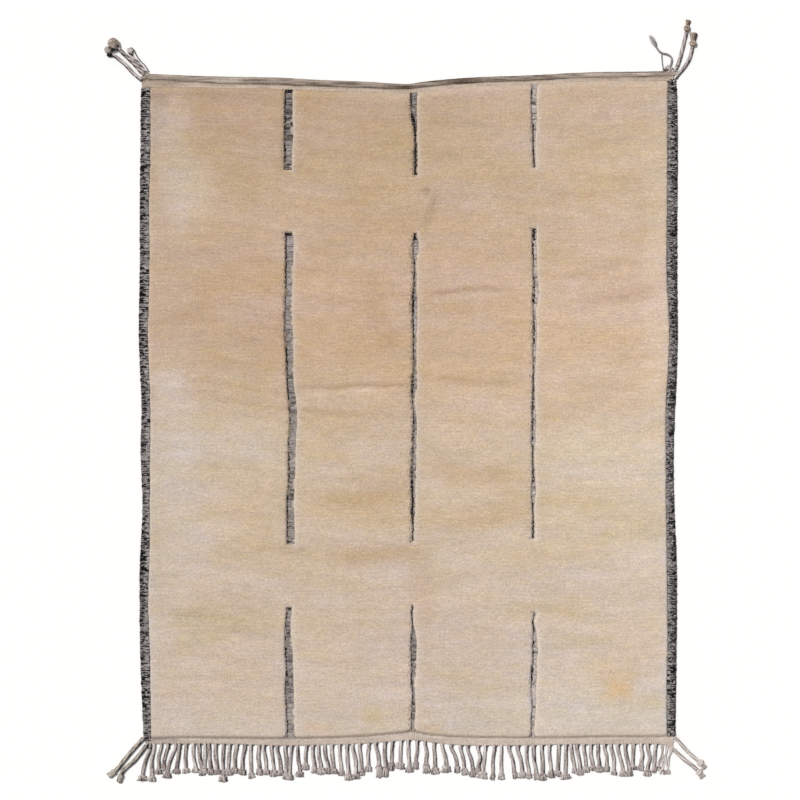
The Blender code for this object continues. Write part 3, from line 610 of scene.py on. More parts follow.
# How each cord looks: thick soft plies, and how dark and how broken the painted shade on its shaded side is
LOOKS = {
    "tie_tl_1": dict(lobes=3, depth=0.12, pitch=0.11, tone=0.60, tone_spread=0.06, under=0.52, edge=(0.02, 0.16), away=TOP_LEFT_SHADED_SIDE, dashes=0.60, groove_shade=0.40, rim=0.10, flat=0.85, wide=1.06),
    "tie_tl_2": dict(lobes=2, depth=0.12, pitch=0.15, tone=0.66, tone_spread=0.06, under=0.66, edge=(0.00, 0.14), away=TOP_LEFT_SHADED_SIDE, dashes=0.30, groove_shade=0.34, rim=0.04, flat=0.85),
    "tie_tl_3": dict(lobes=2, depth=0.20, pitch=0.07, tone=0.56, tone_spread=0.08, under=0.30, edge=(0.15, 0.30), groove_shade=0.70, rim=0.10, wide=1.14),
    "tie_tl_3_strand": dict(lobes=2, depth=0.16, pitch=0.03, tone=0.40, tone_spread=0.04, under=0.10, groove_shade=0.40),
    "tie_tr_1": dict(lobes=3, depth=0.12, pitch=0.16, tone=0.64, tone_spread=0.05, under=0.46, edge=(0.06, 0.20), dashes=0.30, groove_shade=0.36, wide=1.04, rim=0.06, flat=0.85),
    "tie_tr_2": dict(lobes=3, depth=0.12, pitch=0.14, tone=0.64, tone_spread=0.06, under=0.62, edge=(0.00, 0.14), dashes=0.25, groove_shade=0.36, flat=0.85),
    "tie_tr_3": dict(lobes=2, depth=0.12, pitch=0.05, tone=0.43, tone_spread=0.03, under=0.18, groove_shade=0.20, wide=1.10),
    "tie_tr_3_leg": dict(lobes=2, depth=0.12, pitch=0.04, tone=0.46, tone_spread=0.03, under=0.14, groove_shade=0.20, wide=1.02),
    "tie_bl_1": dict(lobes=3, depth=0.08, pitch=0.20, tone=0.52, tone_spread=0.06, under=0.52, edge=(0.06, 0.18), groove_shade=0.26, rim=0.08, flat=0.85),
    "tie_bl_2": dict(lobes=3, depth=0.08, pitch=0.22, tone=0.54, tone_spread=0.06, under=0.60, edge=(-0.02, 0.10), groove_shade=0.26, rim=0.04, flat=0.85),
    "tie_br_1": dict(lobes=3, depth=0.07, pitch=0.20, tone=0.75, tone_spread=0.07, under=0.26, edge=(0.15, 0.40), groove_shade=0.34, rim=0.16, flat=0.85),
    "tie_br_2": dict(lobes=3, depth=0.07, pitch=0.22, tone=0.76, tone_spread=0.07, under=0.22, edge=(0.15, 0.40), groove_shade=0.34, rim=0.18, flat=0.85),
}
ENDS_TONE = {"tie_tl_1": 0.62, "tie_tl_2": 0.60, "tie_tr_1": 0.52, "tie_tr_2": 0.56, "tie_bl_1": 0.64, "tie_bl_2": 0.60, "tie_br_1": 0.78, "tie_br_2": 0.76}


def fan_knot(body, x, y, r, high, tone, seed, away=TOP_LEFT_SHADED_SIDE, turns=(0, 360)):
    """A ball of wound yarn, its strands fanning from the middle to a fuzzy edge."""
    rng = np.random.default_rng(seed)
    angle = np.linspace(0, 2 * math.pi, 22, endpoint=False)
    s = np.linspace(-1, 1, 13)
    centre = np.array([x * MM, y * MM, high * MM / 2])
    dome = np.sqrt(np.clip(1 - s**2, 0.004, 1))
    lump = 1 + 0.05 * noise2(s[:, None] * 0.01 + seed, angle[None, :], 0.004, 0.7, seed)
    core = np.stack(
        [
            centre[0] + r * 0.93 * MM * dome[:, None] * np.cos(angle) * lump,
            centre[1] + r * 0.93 * MM * dome[:, None] * np.sin(angle) * lump,
            centre[2] + high * 0.47 * MM * s[:, None] + 0 * angle,
        ],
        -1,
    )
    # the core, darker with painted shade under the strands
    body.grid(core, tone - 0.22, wrap=True, start_cap=True, end_cap=True)
    count = int(r * 3.0)
    for k in range(count):
        a = 2 * math.pi * (k + rng.uniform(-0.35, 0.35)) / count
        out = np.array([math.cos(a), math.sin(a), 0.0])
        lift = rng.uniform(0.75, 1.0)
        t = np.linspace(0.12, 1, 7)
        swirl = a + 0.9 * (1 - t) * (1 if k % 3 else -0.6)
        reach = r * rng.uniform(0.90, 1.04) * np.sin(t * math.pi / 2) ** 0.9
        z = high * (0.5 + 0.52 * lift * np.cos(t * math.pi / 2) ** 0.8)
        line = np.column_stack([centre[0] + reach * np.cos(swirl) * MM, centre[1] + reach * np.sin(swirl) * MM, np.maximum(z, 1.6) * MM])
        # strands on the shaded side get painted shade, deeper towards their ends
        side = float(step(0.62, 0.95, out @ away))
        shade = tone + rng.uniform(-0.30, 0.14) - 0.50 * side * np.linspace(0.1, 1.0, 7) ** 0.7
        strand(body, line, rng.uniform(1.0, 1.4) * MM, shade[:, None], sides=6, taper=0.8)


def make_tie(name):
    thickness, places = TIES[name]
    radius = thickness * MM / 2
    flat, length = smooth_route(places, 0.0028)
    path = np.column_stack([flat, np.full(len(flat), radius * LOOKS[name].get("flat", 1.0) + 0.05 * MM)])
    body = Body()
    seed = sorted(TIES).index(name) + 40
    look = dict(LOOKS[name])
    wide = look.pop("wide", 1.0)
    rope(body, path, radius * wide, sides=14 if radius < 0.006 else 20, seed=seed, rough=0.035, **look)
    wool = OLIVE_CORD_WOOL if name in ("tie_bl_1", "tie_bl_2") else WARM_CORD_WOOL if name in ("tie_br_1", "tie_br_2") else GREY_CORD_WOOL if name.startswith("tie_tr_3") else CORD_WOOL
    made = body.build("cord" + name[3:], wool)
    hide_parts(name)
    end = flat[-1]
    heading = math.atan2(*(flat[-1] - flat[-3])[::-1])
    extra = []
    if name in KNOTS:
        half, high, long, tuft, tuft_half, turn, ends = KNOTS[name]
        knot = Body()
        if tuft:
            knot_and_tuft(knot, end, heading, radius, half * MM, high * MM, long * MM, tuft * MM, tuft_half * MM, turn, ends, ENDS_TONE[name], seed)
        else:
            bell(knot, end, heading, radius, tuft_half * MM, high * MM, long * MM, ends, ENDS_TONE[name], seed, sides=8, wisp=5)
        if name == "tie_tl_1":
            knot = Body()
            fan_knot(knot, -1345.5, 1665, 25.5, 28, 0.74, 201, away=np.array([0.45, -0.89, 0.0]))
        if name == "tie_tl_2":
            knot = Body()
            fan_knot(knot, -1371, 1636.5, 16.0, 21, 0.66, 202, away=np.array([0.72, -0.35, 0.0]))
        if name == "tie_tl_2":
            # the cord's last end is black wool, and black threads are caught between the two knots
            black = Body()
            fan_knot(black, -1368.0, 1614.0, 8.0, 13, 0.16, 203)
            fan_knot(black, -1359.0, 1613.0, 8.5, 13, 0.12, 204)
            tangle(black, -1347, 1636, 6, 8, 12, 2.0, 20, 0.04, 0.04, 205, 0.35, 0.014)
            tangle(black, -1359, 1646, 4, 3, 4, 1.6, 25, 0.08, 0.05, 207, 0.3, 0.010)
            tangle(black, -1326, 1653, 5, 5, 8, 1.8, 25, 0.05, 0.04, 206, 0.35, 0.012)
            tangle(knot, -1338, 1646, 7, 4, 6, 1.7, 24, 0.42, 0.10, 208, 0.3, 0.014)
            extra.append(black.build("black_ends_tl_2", DARK_WOOL))
        knot = knot.build("knot" + name[3:], BROWN_CORD_WOOL if name in ("tie_tr_1", "tie_tr_2", "tie_tl_1") else wool)
        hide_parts(name + "_knot")
        extra.append(knot)
    elif name == "tie_tr_3":
        knot = Body()
        tip, _ = smooth_route(((1120, 1654), (1112, 1668), (1103, 1684), (1095, 1700)), 0.003)
        swell = np.interp(np.linspace(0, 1, len(tip)), (0, 0.15, 0.45, 0.75, 0.92, 1), (5.4, 8.2, 11.2, 10.6, 7.8, 4.0)) * MM
        rope(knot, np.column_stack([tip, swell + 0.1 * MM]), swell, lobes=3, depth=0.10, pitch=0.30, sides=16, tone=0.56, tone_spread=0.10, seed=5, rough=0.08, under=0.20, groove_shade=0.4)
        for k in range(10):
            rng = np.random.default_rng(300 + k)
            a = rng.uniform(-0.7, 0.7)
            base = np.array([*tip[rng.integers(3, len(tip) - 2)], 0.007])
            out = np.array([math.cos(heading + a), math.sin(heading + a), 0.0])
            line = base + out * (np.linspace(0, 1, 4) * rng.uniform(0.010, 0.017))[:, None]
            strand(knot, line, 0.0013, 0.56, sides=5, taper=0.4)
        knot = knot.build("knot" + name[3:], wool)
        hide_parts(name + "_knot")
        extra.append(knot)
    elif name == "tie_tl_3_strand":
        knot = Body()
        knot_and_tuft(knot, np.array([-1.2690, 1.6235]), 1.5, radius, 0.0115, 0.014, 0.021, 0.0, 0.009, 0, 4, 0.66, seed, 0.8)
        tangle(knot, -1267, 1635, 11, 10, 9, 1.7, 11, 0.80, 0.14, 61, 0.6, 0.024)
        tangle(knot, -1268, 1633, 10, 9, 7, 1.5, 8, 0.04, 0.05, 62, 0.5, 0.020)
        extra.append(knot.build("knot" + name[3:], CORD_WOOL))
    return [made, *extra]


tie_pieces = [piece for name in TIES for piece in make_tie(name)]

# ---------------------------------------------------------------- outline of the rug
SIDES = (  # y, left outer, left inner, right inner, right outer
    (-1486, -1210, -1174, 1170, 1209),
    (-1272, -1219, -1176, 1168, 1212),
    (-1090, -1225, -1179, 1172, 1214),
    (-863, -1228, -1187, 1171, 1216),
    (-682, -1226, -1181, 1169, 1215),
    (-454, -1215, -1179, 1166, 1205),
    (-182, -1223, -1178, 1164, 1201),
    (0, -1219, -1177, 1164, 1208),
    (182, -1226, -1182, 1174, 1216),
    (341, -1231, -1188, 1181, 1219),
    (636, -1227, -1181, 1168, 1218),
    (909, -1227, -1183, 1171, 1218),
    (1181, -1224, -1177, 1172, 1220),
    (1425, -1222, -1178, 1173, 1217),
    (1500, -1219, -1178, 1173, 1212),
)
TOP = (  # x, where the pile starts, the ridge's inner edge where its painted shadow lies, outer edge
    (-1213, 1465, 1502, 1528),
    (-1179, 1468, 1504, 1528),
    (-997, 1468, 1494, 1521),
    (-838, 1465, 1484, 1516),
    (-611, 1461, 1481, 1512),
    (-361, 1449, 1472, 1499),
    (-179, 1445, 1466, 1492),
    (-20, 1441, 1460, 1483),
    (116, 1456, 1475, 1499),
    (298, 1472, 1489, 1513),
    (548, 1481, 1499, 1522),
    (820, 1496, 1512, 1536),
    (1047, 1496, 1516, 1539),
    (1150, 1497, 1519, 1541),
    (1212, 1498, 1521, 1541),
)
BOTTOM = (  # x, where the pile ends, where the tassels start
    (-1197, -1493, -1522),
    (-997, -1490, -1520),
    (-770, -1492, -1523),
    (-579, -1493, -1529),
    (-361, -1490, -1525),
    (-179, -1481, -1517),
    (-43, -1468, -1506),
    (16, -1463, -1504),
    (102, -1478, -1514),
    (207, -1486, -1525),
    (411, -1490, -1529),
    (684, -1490, -1524),
    (911, -1486, -1522),
    (1116, -1486, -1521),
    (1172, -1484, -1529),
    (1199, -1484, -1547),
)
left_outer, left_inner, right_inner, right_outer = (curve_through(SIDES, n) for n in (1, 2, 3, 4))
top_pile, top_line, top_outer = (curve_through(TOP, n) for n in (1, 2, 3))
bottom_pile, bottom_root = (curve_through(BOTTOM, n) for n in (1, 2))

# The unpiled lines. path: y, left edge, right edge of the bare ground.
LINES = {
    "left": {
        "ends": (1091, 807, -609, -897),
        "path": (
            (1460, -566, -532), (1327, -569, -532), (1254, -570, -529), (1181, -570, -535), (1091, -570, -535),
            (807, -565, -534), (772, -564, -527), (500, -566, -536), (341, -570, -530), (227, -561, -529),
            (114, -557, -527), (45, -552, -516), (-45, -545, -512), (-136, -551, -517), (-318, -552, -521),
            (-409, -558, -525), (-609, -558, -522),
            (-897, -559, -534), (-1000, -567, -541), (-1090, -567, -532), (-1181, -562, -529), (-1272, -566, -527),
            (-1363, -561, -525), (-1460, -558, -524),
        ),
    },
    "middle": {
        "ends": (1067, 803, -595, -892),
        "path": (
            (1440, 2, 35), (1363, 5, 32), (1318, 9, 34), (1281, 18, 34), (1227, 22, 34), (1136, 20, 38), (1067, 19, 36),
            (803, 20, 32), (772, 17, 39), (745, 14, 40), (700, 16, 35), (640, 19, 30), (591, 17, 35), (545, 15, 30),
            (500, 11, 34), (364, 14, 33), (227, 16, 30), (100, 7, 34), (45, 10, 20), (-23, 16, 30), (-136, 12, 33),
            (-204, 8, 30), (-341, 6, 29), (-409, 10, 26), (-470, 7, 23), (-523, 13, 20), (-595, 10, 20),
            (-892, 11, 20), (-922, 7, 15), (-977, 11, 18), (-1013, 8, 26), (-1059, 5, 32), (-1113, 6, 30), (-1181, 7, 30),
            (-1240, 7, 23), (-1295, 13, 25), (-1354, 8, 26), (-1440, 7, 22), (-1460, 7, 20),
        ),
    },
    "right": {
        "ends": (1102, 825, -584, -922),
        "path": (
            (1468, 554, 579), (1409, 552, 576), (1318, 554, 579), (1272, 557, 575), (1204, 559, 570), (1102, 562, 575),
            (825, 556, 577), (727, 557, 578), (636, 561, 579), (563, 560, 584), (509, 557, 584), (454, 561, 574),
            (364, 561, 578), (273, 561, 575), (200, 561, 571), (68, 557, 569), (-23, 555, 573), (-136, 554, 573),
            (-204, 557, 566), (-295, 557, 570), (-373, 554, 572), (-441, 557, 566), (-523, 557, 570), (-584, 557, 568),
            (-922, 563, 575), (-963, 558, 568), (-1022, 561, 579), (-1090, 557, 584), (-1145, 557, 579), (-1190, 552, 579),
            (-1272, 552, 573), (-1336, 555, 574), (-1400, 552, 569), (-1468, 551, 566),
        ),
    },
}
GROUND = 4.5 * MM
PILE = TOP_OF_PILE - 0.6 * MM
line_edges = {name: (curve_through(line["path"], 1), curve_through(line["path"], 2)) for name, line in LINES.items()}
# Soft dips across the pile: y, from x, to x, depth, half width, slant of the dip
RIPPLES = (
    (103, -500, 10, 2.6, 11, 0.0),
    (97, -150, 5, 2.0, 8, 0.10),
    (62, -545, -120, 1.2, 14, -0.02),
    (35, -1170, -700, 0.9, 18, 0.01),
    (-612, 30, 300, 1.5, 14, 0.02),
    (-628, 240, 560, 1.3, 20, -0.03),
    (-655, -250, 20, 1.2, 16, 0.03),
    (300, -470, -180, 0.8, 14, 0.04),
    (760, 50, 480, 0.8, 18, 0.03),
    (1010, -480, -60, 0.8, 18, -0.02),
    (-330, 620, 1080, 0.9, 18, 0.02),
    (560, 700, 1100, 0.8, 16, -0.02),
    (-950, -1080, -700, 0.8, 18, 0.02),
)


def dash_distance(x, y, name, spread=1.0):
    """How far a place is outside the nearest dash of a line, negative inside it, with its edges a little ragged."""
    near, far = line_edges[name]
    seed = {"left": 5, "middle": 17, "right": 29}[name]
    ragged = (1.3 if name == "left" else 1.8) * MM * spread
    low = near(y) + ragged * noise1(y, 0.0095, seed) + 1.2 * MM * noise1(y, 0.045, seed + 1)
    high = far(y) + ragged * noise1(y, 0.0095, seed + 2) + 1.2 * MM * noise1(y, 0.045, seed + 3)
    middle, half = (low + high) / 2, (high - low) / 2
    dx = np.abs(x - middle) - half
    first, start, end, last = (e * MM for e in LINES[name]["ends"])
    dy = np.minimum(np.minimum(first - y, np.maximum(y - start, end - y)), y - last)
    outside = np.hypot(np.maximum(dx, 0), np.maximum(dy, 0))
    return np.where((dx > 0) | (dy > 0), outside, np.maximum(dx, dy))


def rounded_min(a, b, r):
    """The smaller of two distances, with the corner between them rounded."""
    u, v = np.maximum(r - a, 0), np.maximum(r - b, 0)
    return np.where((a < r) & (b < r), r - np.hypot(u, v), np.minimum(a, b))


def pile_left(y):
    return left_inner(y) - (0.2 + 1.9 * noise1(y, 0.019, 211) + 1.4 * noise1(y, 0.0085, 212)) * MM


def pile_right(y):
    return right_inner(y) + (0.2 + 1.9 * noise1(y, 0.019, 213) + 1.4 * noise1(y, 0.0085, 214)) * MM


def pile_columns(y):
    """x of each column of points at y: fine at the edges and along the lines, even between them."""
    left, right = pile_left(y), pile_right(y)
    rim = np.array([0, 0.7, 2.0, 4.0, 6.5, 10, 14.5]) * MM
    wall = np.array([20, 15.5, 12, 9, 6.8, 5, 3.6, 2.4, 1.4, 0.6, -0.4]) * MM
    parts, before = [left + r for r in rim], left + rim[-1]
    for name in LINES:
        near, far = line_edges[name][0](y), line_edges[name][1](y)
        for n in range(1, PANEL):
            parts.append(before + (near - wall[0] - before) * n / PANEL)
        parts += [near - w for w in wall]
        parts.append((near + far) / 2)
        parts += [far + w for w in wall[::-1]]
        before = far + wall[0]
    for n in range(1, PANEL):
        parts.append(before + (right - rim[-1] - before) * n / PANEL)
    parts += [right - r for r in rim[::-1]]
    return np.array(parts)


PANEL = 31


FADE = (  # down the rug: y, red, green, blue
    (1450, 189, 164, 140), (1100, 192, 168, 142), (600, 198, 171, 146), (230, 200, 173, 147), (20, 202, 177, 151),
    (-110, 202, 181, 159), (-600, 202, 183, 162), (-1100, 203, 185, 169), (-1300, 203, 187, 172), (-1450, 203, 190, 178),
)
PATCHES = (  # x, y, half sizes, turn, change of red, green and blue
    (-1079, 1181, 95, 330, 0, (9, 12, 16)),
    (-1006, 977, 115, 150, 12, (8, 12, 15)),
    (-1020, 409, 150, 120, 6, (-5, -6, -7)),
    (-1088, 114, 90, 100, 0, (8, 12, 16)),
    (-861, -150, 330, 120, -4, (4, 8, 13)),
    (866, -170, 250, 120, 0, (5, 9, 13)),
    (1115, 727, 50, 800, 0, (5, 8, 10)),
    # the next six rows are painted light: shade along four creases in the pile, and a painted highlight on the lit side
    # of the first two
    (-248, 102, 240, 12, 0, (-16, -18, -20)),
    (-330, 78, 160, 16, 3, (9, 10, 12)),
    (252, 532, 180, 14, 4, (-15, -17, -17)),
    (270, 505, 160, 16, 4, (7, 8, 9)),
    (298, 136, 200, 14, -2, (-12, -12, -12)),
    (-270, -23, 230, 23, 0, (-7, -9, -12)),
    (-480, 10, 170, 14, -3, (-8, -9, -10)),
    (-202, -409, 200, 80, 5, (-7, -12, -19)),
    (-157, -659, 190, 40, 6, (-12, -16, -20)),
    (-560, -640, 150, 26, -4, (-8, -9, -12)),
    (320, -295, 230, 56, -5, (-6, -12, -20)),
    (366, -477, 200, 50, 4, (-4, -9, -14)),
    (-838, -954, 230, 58, -8, (-11, -11, -18)),
    (-960, -1040, 120, 30, 12, (-6, -5, -11)),
    (48, -818, 70, 200, 0, (-5, -8, -10)),
    (966, -1258, 62, 44, -20, (4, -9, -30)),
    (890, -1295, 50, 36, 10, (2, -4, -15)),
    (920, -1180, 150, 60, 0, (1, -1, -8)),
    (-838, 1340, 140, 110, 0, (0, -2, 0)),
    (-1150, 1442, 60, 50, 0, (-12, -13, -13)),
    (-1155, 1330, 60, 130, 0, (-6, -4, 1)),
    (-1075, 0, 125, 1250, 0, (-3, 1, 6)),
    (-1075, 1050, 100, 260, 0, (-5, -6, -5)),
    (-780, 150, 190, 330, 0, (-6, -4, -4)),
    (-390, 120, 150, 150, 0, (-5, -4, -5)),
    (870, 1000, 330, 480, 0, (-4, -4, -5)),
    (780, -30, 330, 130, 0, (-4, -6, -7)),
    (190, 460, 170, 70, 0, (-6, -6, -9)),
    (1000, -1200, 150, 130, 0, (-2, -5, -7)),
    (930, -850, 240, 140, 0, (2, 3, 7)),
    (-415, -1440, 70, 26, -6, (3, -6, -14)),
    (-178, -1386, 44, 46, 12, (-3, -5, -16)),
    (78, -1440, 70, 20, 4, (0, -5, -12)),
    (-820, 1452, 330, 34, 2, (-9, -9, -9)),
    (-361, 1272, 270, 130, 0, (-3, -4, -4)),
    (-679, 364, 110, 180, 0, (-3, -5, -7)),
    (93, 909, 24, 100, -15, (-12, -12, -10)),
    (70, 1000, 16, 22, 0, (-20, -22, -22)),
    (-1000, -600, 150, 200, 0, (3, 4, 6)),
    (-361, -1272, 230, 110, 0, (2, 3, 4)),
    (684, -909, 270, 34, -6, (-5, -5, -9)),
    (684, -409, 270, 34, -5, (-5, -5, -9)),
    (980, -560, 200, 26, 8, (-5, -4, -9)),
    (760, -1060, 240, 24, 5, (-6, -5, -10)),
    (1047, -659, 130, 130, 0, (3, 3, 4)),
    (950, 520, 200, 30, 16, (-7, -9, -6)),
    (820, 640, 180, 20, 10, (-6, -7, -6)),
    (640, 1000, 240, 26, -6, (-5, -6, -7)),
    (-700, 880, 230, 30, -5, (5, 6, 8)),
    (-840, 700, 200, 26, -8, (-6, -7, -8)),
    (-300, 640, 200, 40, 12, (4, 4, 5)),
    (-150, 420, 60, 160, 25, (-5, -6, -7)),
)


def pile_tones(x, y, line_left, line_right, sides, ends):
    """Linear colour of each point: a tan upper part and a paler lower one, with softly placed patches, streaks and
    stains, and painted shade and highlight along creases, by the bare lines and at the pile's foot.
    """

    def blob(cx, cy, rx, ry, turn):
        c, s = math.cos(math.radians(turn)), math.sin(math.radians(turn))
        wx = x + 22 * MM * noise2(x, y, 0.16, 0.10, 71) + 8 * MM * noise2(x, y, 0.05, 0.03, 72)
        wy = y + 16 * MM * noise2(x, y, 0.16, 0.10, 73) + 5 * MM * noise2(x, y, 0.05, 0.03, 74)
        u, v = (wx - cx * MM) * c + (wy - cy * MM) * s, -(wx - cx * MM) * s + (wy - cy * MM) * c
        return np.exp(-((u / (rx * MM)) ** 4 + (v / (ry * MM)) ** 2))[..., None]

    wave = y + 0.10 * noise2(x, y, 0.55, 0.5, 61) + 0.035 * noise2(x, y, 0.14, 0.10, 62)
    colour = np.stack([curve_through(FADE, n)(wave) for n in (1, 2, 3)], -1) * 1000
    lean = step(-0.15, 1.05, x + 0.08 * noise2(x, y, 0.5, 0.5, 63))[..., None]
    colour = colour + lean * (np.array([6, 7, 6]) + np.array([6, 7, 11]) * step(-0.9, 1.2, y)[..., None])
    for cx, cy, rx, ry, turn, change in PATCHES:
        colour = colour + np.array(change) * blob(cx, cy, rx, ry, turn)
    sag = 0.05 * np.sin(2.1 * x + 0.6) - 0.03 * np.sin(4.6 * x)
    colour = colour + 3.4 * noise2(x, y + sag, 0.24, 0.026, 64)[..., None] * np.array([1.0, 1.1, 1.2])
    colour = colour + 2.6 * noise2(x, y + sag, 0.10, 0.020, 65)[..., None] * np.array([1.0, 1.1, 1.3])
    colour = colour + 3.0 * noise2(x, y, 0.17, 0.10, 66)[..., None] * np.array([0.6, 0.8, 1.6])
    colour = colour + 2.5 * noise2(x, y, 0.07, 0.06, 67)[..., None] * np.array([0.9, 0.6, 1.2])
    slow = noise2(x, y, 0.30, 0.075, 68) + 0.7 * noise2(x, y, 0.13, 0.045, 69)
    colour = colour + 3.0 * slow[..., None] * np.array([-0.2, 0.25, 1.6])
    # greyer tips where the pile stands by a binding or a band
    tip = np.exp(-((sides / 0.020) ** 2))[..., None]
    colour = colour + (colour * np.array([0.985, 1.01, 1.05]) - colour + 1.0) * tip
    tip = np.exp(-((ends / 0.027) ** 2))[..., None]
    tip = tip * np.where(y > 0, 0.75 * step(-0.5, 0.1, x), 0.6)[..., None]
    colour = colour + (np.array([199, 181, 165]) - colour) * tip
    # painted shade along the pile's foot at the bottom band
    tip = np.exp(-((ends / 0.007) ** 2)) * np.where(y < 0, 0.6 + 0.4 * step(0.1, -0.4, x), 0.0)
    colour = colour * (1 - 0.12 * tip)[..., None]
    # painted highlight: the pile right of each bare line, whose edge faces the light, is made paler and greyer
    tip = np.exp(-((line_right / 0.017) ** 2))[..., None]
    third = step(0.30, 0.50, x)[..., None]
    colour = colour + (np.array([203, 190, 179]) + 9 * step(0.2, -0.9, y)[..., None] + 8 * third - colour) * tip * 0.75
    # painted shade on the pile left of each bare line, whose edge faces away from the light; greyer in the right third
    tip = np.exp(-((line_left / 0.013) ** 2))[..., None]
    colour = colour + (colour * (np.array([0.96, 0.97, 1.0]) + third * np.array([0.02, 0.03, 0.05])) - colour) * tip
    # dark hairs of the ground weave caught in the pile
    hairs = step(0.25, 0.75, noise2(x, y, 0.0035, 0.007, 81)) * np.exp(-(((line_left - 0.007) / 0.009) ** 2))
    colour = colour * (1 - 0.42 * hairs * (0.5 + 0.5 * step(-0.4, -0.1, x) - 0.35 * third[..., 0]))[..., None]
    return ((np.clip(colour, 20, 250) / 255 + 0.055) / 1.055) ** 2.4


def make_pile():
    ends = np.array([e for line in LINES.values() for e in line["ends"]]) * MM
    low_y, high_y = -1.443, 1.425
    rows = list(np.linspace(low_y, high_y, 410))
    for e in ends:
        rows = [y for y in rows if abs(y - e) > 0.0085] + [e + d * MM for d in (-7.0, -3.6, -1.2, 1.2, 3.6, 7.0)]
    rows = np.array(sorted(rows))
    rows = rows[np.concatenate([[True], np.diff(rows) > 0.0008])]
    rim = np.array([0, 0.7, 2.0, 4.0, 6.5, 10, 14.5, 19.5, 25.5, 32.5]) * MM

    ys, xs = [], []
    bottom_x = pile_columns(np.float64(-1.46))
    for r in rim:
        xs.append(bottom_x)
        edge = bottom_pile(bottom_x) + 0.3 * MM
        limit = low_y - 0.004
        ys.append(edge + (limit - edge) * (r / 0.0365))
    for y in rows:
        xs.append(pile_columns(np.float64(y)))
        ys.append(np.full(len(bottom_x), y))
    top_x = pile_columns(np.float64(1.455))
    for r in rim[::-1]:
        xs.append(top_x)
        edge = top_pile(top_x) - 0.3 * MM
        limit = high_y + 0.004
        ys.append(edge + (limit - edge) * (r / 0.0365))
    x, y = np.array(xs), np.array(ys)

    rim_x = np.minimum(x - pile_left(y), pile_right(y) - x)
    rim_y = np.minimum(y - bottom_pile(x) - 0.3 * MM, top_pile(x) - 0.3 * MM - y)
    rim_x, rim_y = np.maximum(rim_x, 0), np.maximum(rim_y, 0)
    outer = rounded_min(rim_x, rim_y, 10 * MM)
    line, west, east = np.full_like(x, 1.0), np.full_like(x, 1.0), np.full_like(x, 1.0)
    for name in LINES:
        far = dash_distance(x, y, name)
        line = np.minimum(line, far)
        centre = sum(edge(y) for edge in line_edges[name]) / 2
        west = np.minimum(west, np.where(x < centre, np.maximum(far, 0), 1.0))
        east = np.minimum(east, np.where(x > centre, np.maximum(far, 0), 1.0))
    # a dash that runs out through the end leaves the pile's two corners rounded
    foot = np.maximum(y - bottom_pile(x) - 0.3 * MM, 0)
    both = np.minimum(rounded_min(line, rim_y + 0.2 * MM, 9 * MM), rounded_min(line, foot + 0.2 * MM, 26 * MM))

    def shoulder(d, reach, wall):
        t = np.clip(d / reach, 0, 1)
        return wall + (1 - wall) * (1 - (1 - t) ** 2.4) ** (1 / 2.0)

    swell = 1.0 + 0.5 * noise2(x, y, 0.11, 0.07, 31) + 0.55 * noise2(x, y, 0.035, 0.024, 32) + 0.4 * noise2(x, y, 0.016, 0.014, 33)
    top = PILE - 1.6 * MM + swell * MM
    for ry, x0, x1, deep, half, slant in RIPPLES:
        centre = ry * MM + slant * (x - x0 * MM) + 3 * MM * noise1(x, 0.06, int(abs(ry)) + 3)
        inside = step(x0 * MM - 0.02, x0 * MM + 0.05, x) * (1 - step(x1 * MM - 0.05, x1 * MM + 0.01, x))
        top = top - deep * MM * inside * np.exp(-(((y - centre) / (half * MM)) ** 2))
    from_top = np.maximum(top_pile(x) - 0.3 * MM - y, 0)
    from_foot = np.maximum(y - bottom_pile(x) - 0.3 * MM, 0)
    thin_end = (0.06 + 0.94 * step(-4 * MM, 26 * MM, from_top)) * (0.30 + 0.70 * step(-3 * MM, 14 * MM, from_foot))
    high = (top - GROUND) * np.minimum(shoulder(outer, 12 * MM, 0.52) * thin_end, shoulder(np.maximum(both, 0), 8 * MM, 0.34))
    bare = both < 0
    z = np.where(bare, GROUND, GROUND + high)
    z = np.minimum(z, TOP_OF_PILE + 1.0 * MM)

    body = Body()
    start = body.grid(np.stack([x, y, z], -1))
    rows_n, across = x.shape
    index = start + np.arange(rows_n * across).reshape(rows_n, across)
    # the flat underside
    left = body.put(np.stack([x[:, 0], y[:, 0], np.zeros(rows_n)], -1)) + np.arange(rows_n)
    right = body.put(np.stack([x[:, -1], y[:, -1], np.zeros(rows_n)], -1)) + np.arange(rows_n)
    low = body.put(np.stack([x[0, 1:-1], y[0, 1:-1], np.zeros(across - 2)], -1)) + np.arange(across - 2)
    high = body.put(np.stack([x[-1, 1:-1], y[-1, 1:-1], np.zeros(across - 2)], -1)) + np.arange(across - 2)
    low = np.concatenate([[left[0]], low, [right[0]]])
    high = np.concatenate([[left[-1]], high, [right[-1]]])
    body.quads.append(np.stack([index[1:, 0], index[:-1, 0], left[:-1], left[1:]], -1))
    body.quads.append(np.stack([index[:-1, -1], index[1:, -1], right[1:], right[:-1]], -1))
    body.quads.append(np.stack([index[0, :-1], index[0, 1:], low[1:], low[:-1]], -1))
    body.quads.append(np.stack([index[-1, 1:], index[-1, :-1], high[:-1], high[1:]], -1))
    n_rim = len(rim)
    upto = rows_n - n_rim
    body.quads.append(np.stack([left[n_rim : upto + 1], right[n_rim : upto + 1], right[n_rim - 1 : upto], left[n_rim - 1 : upto]], -1))
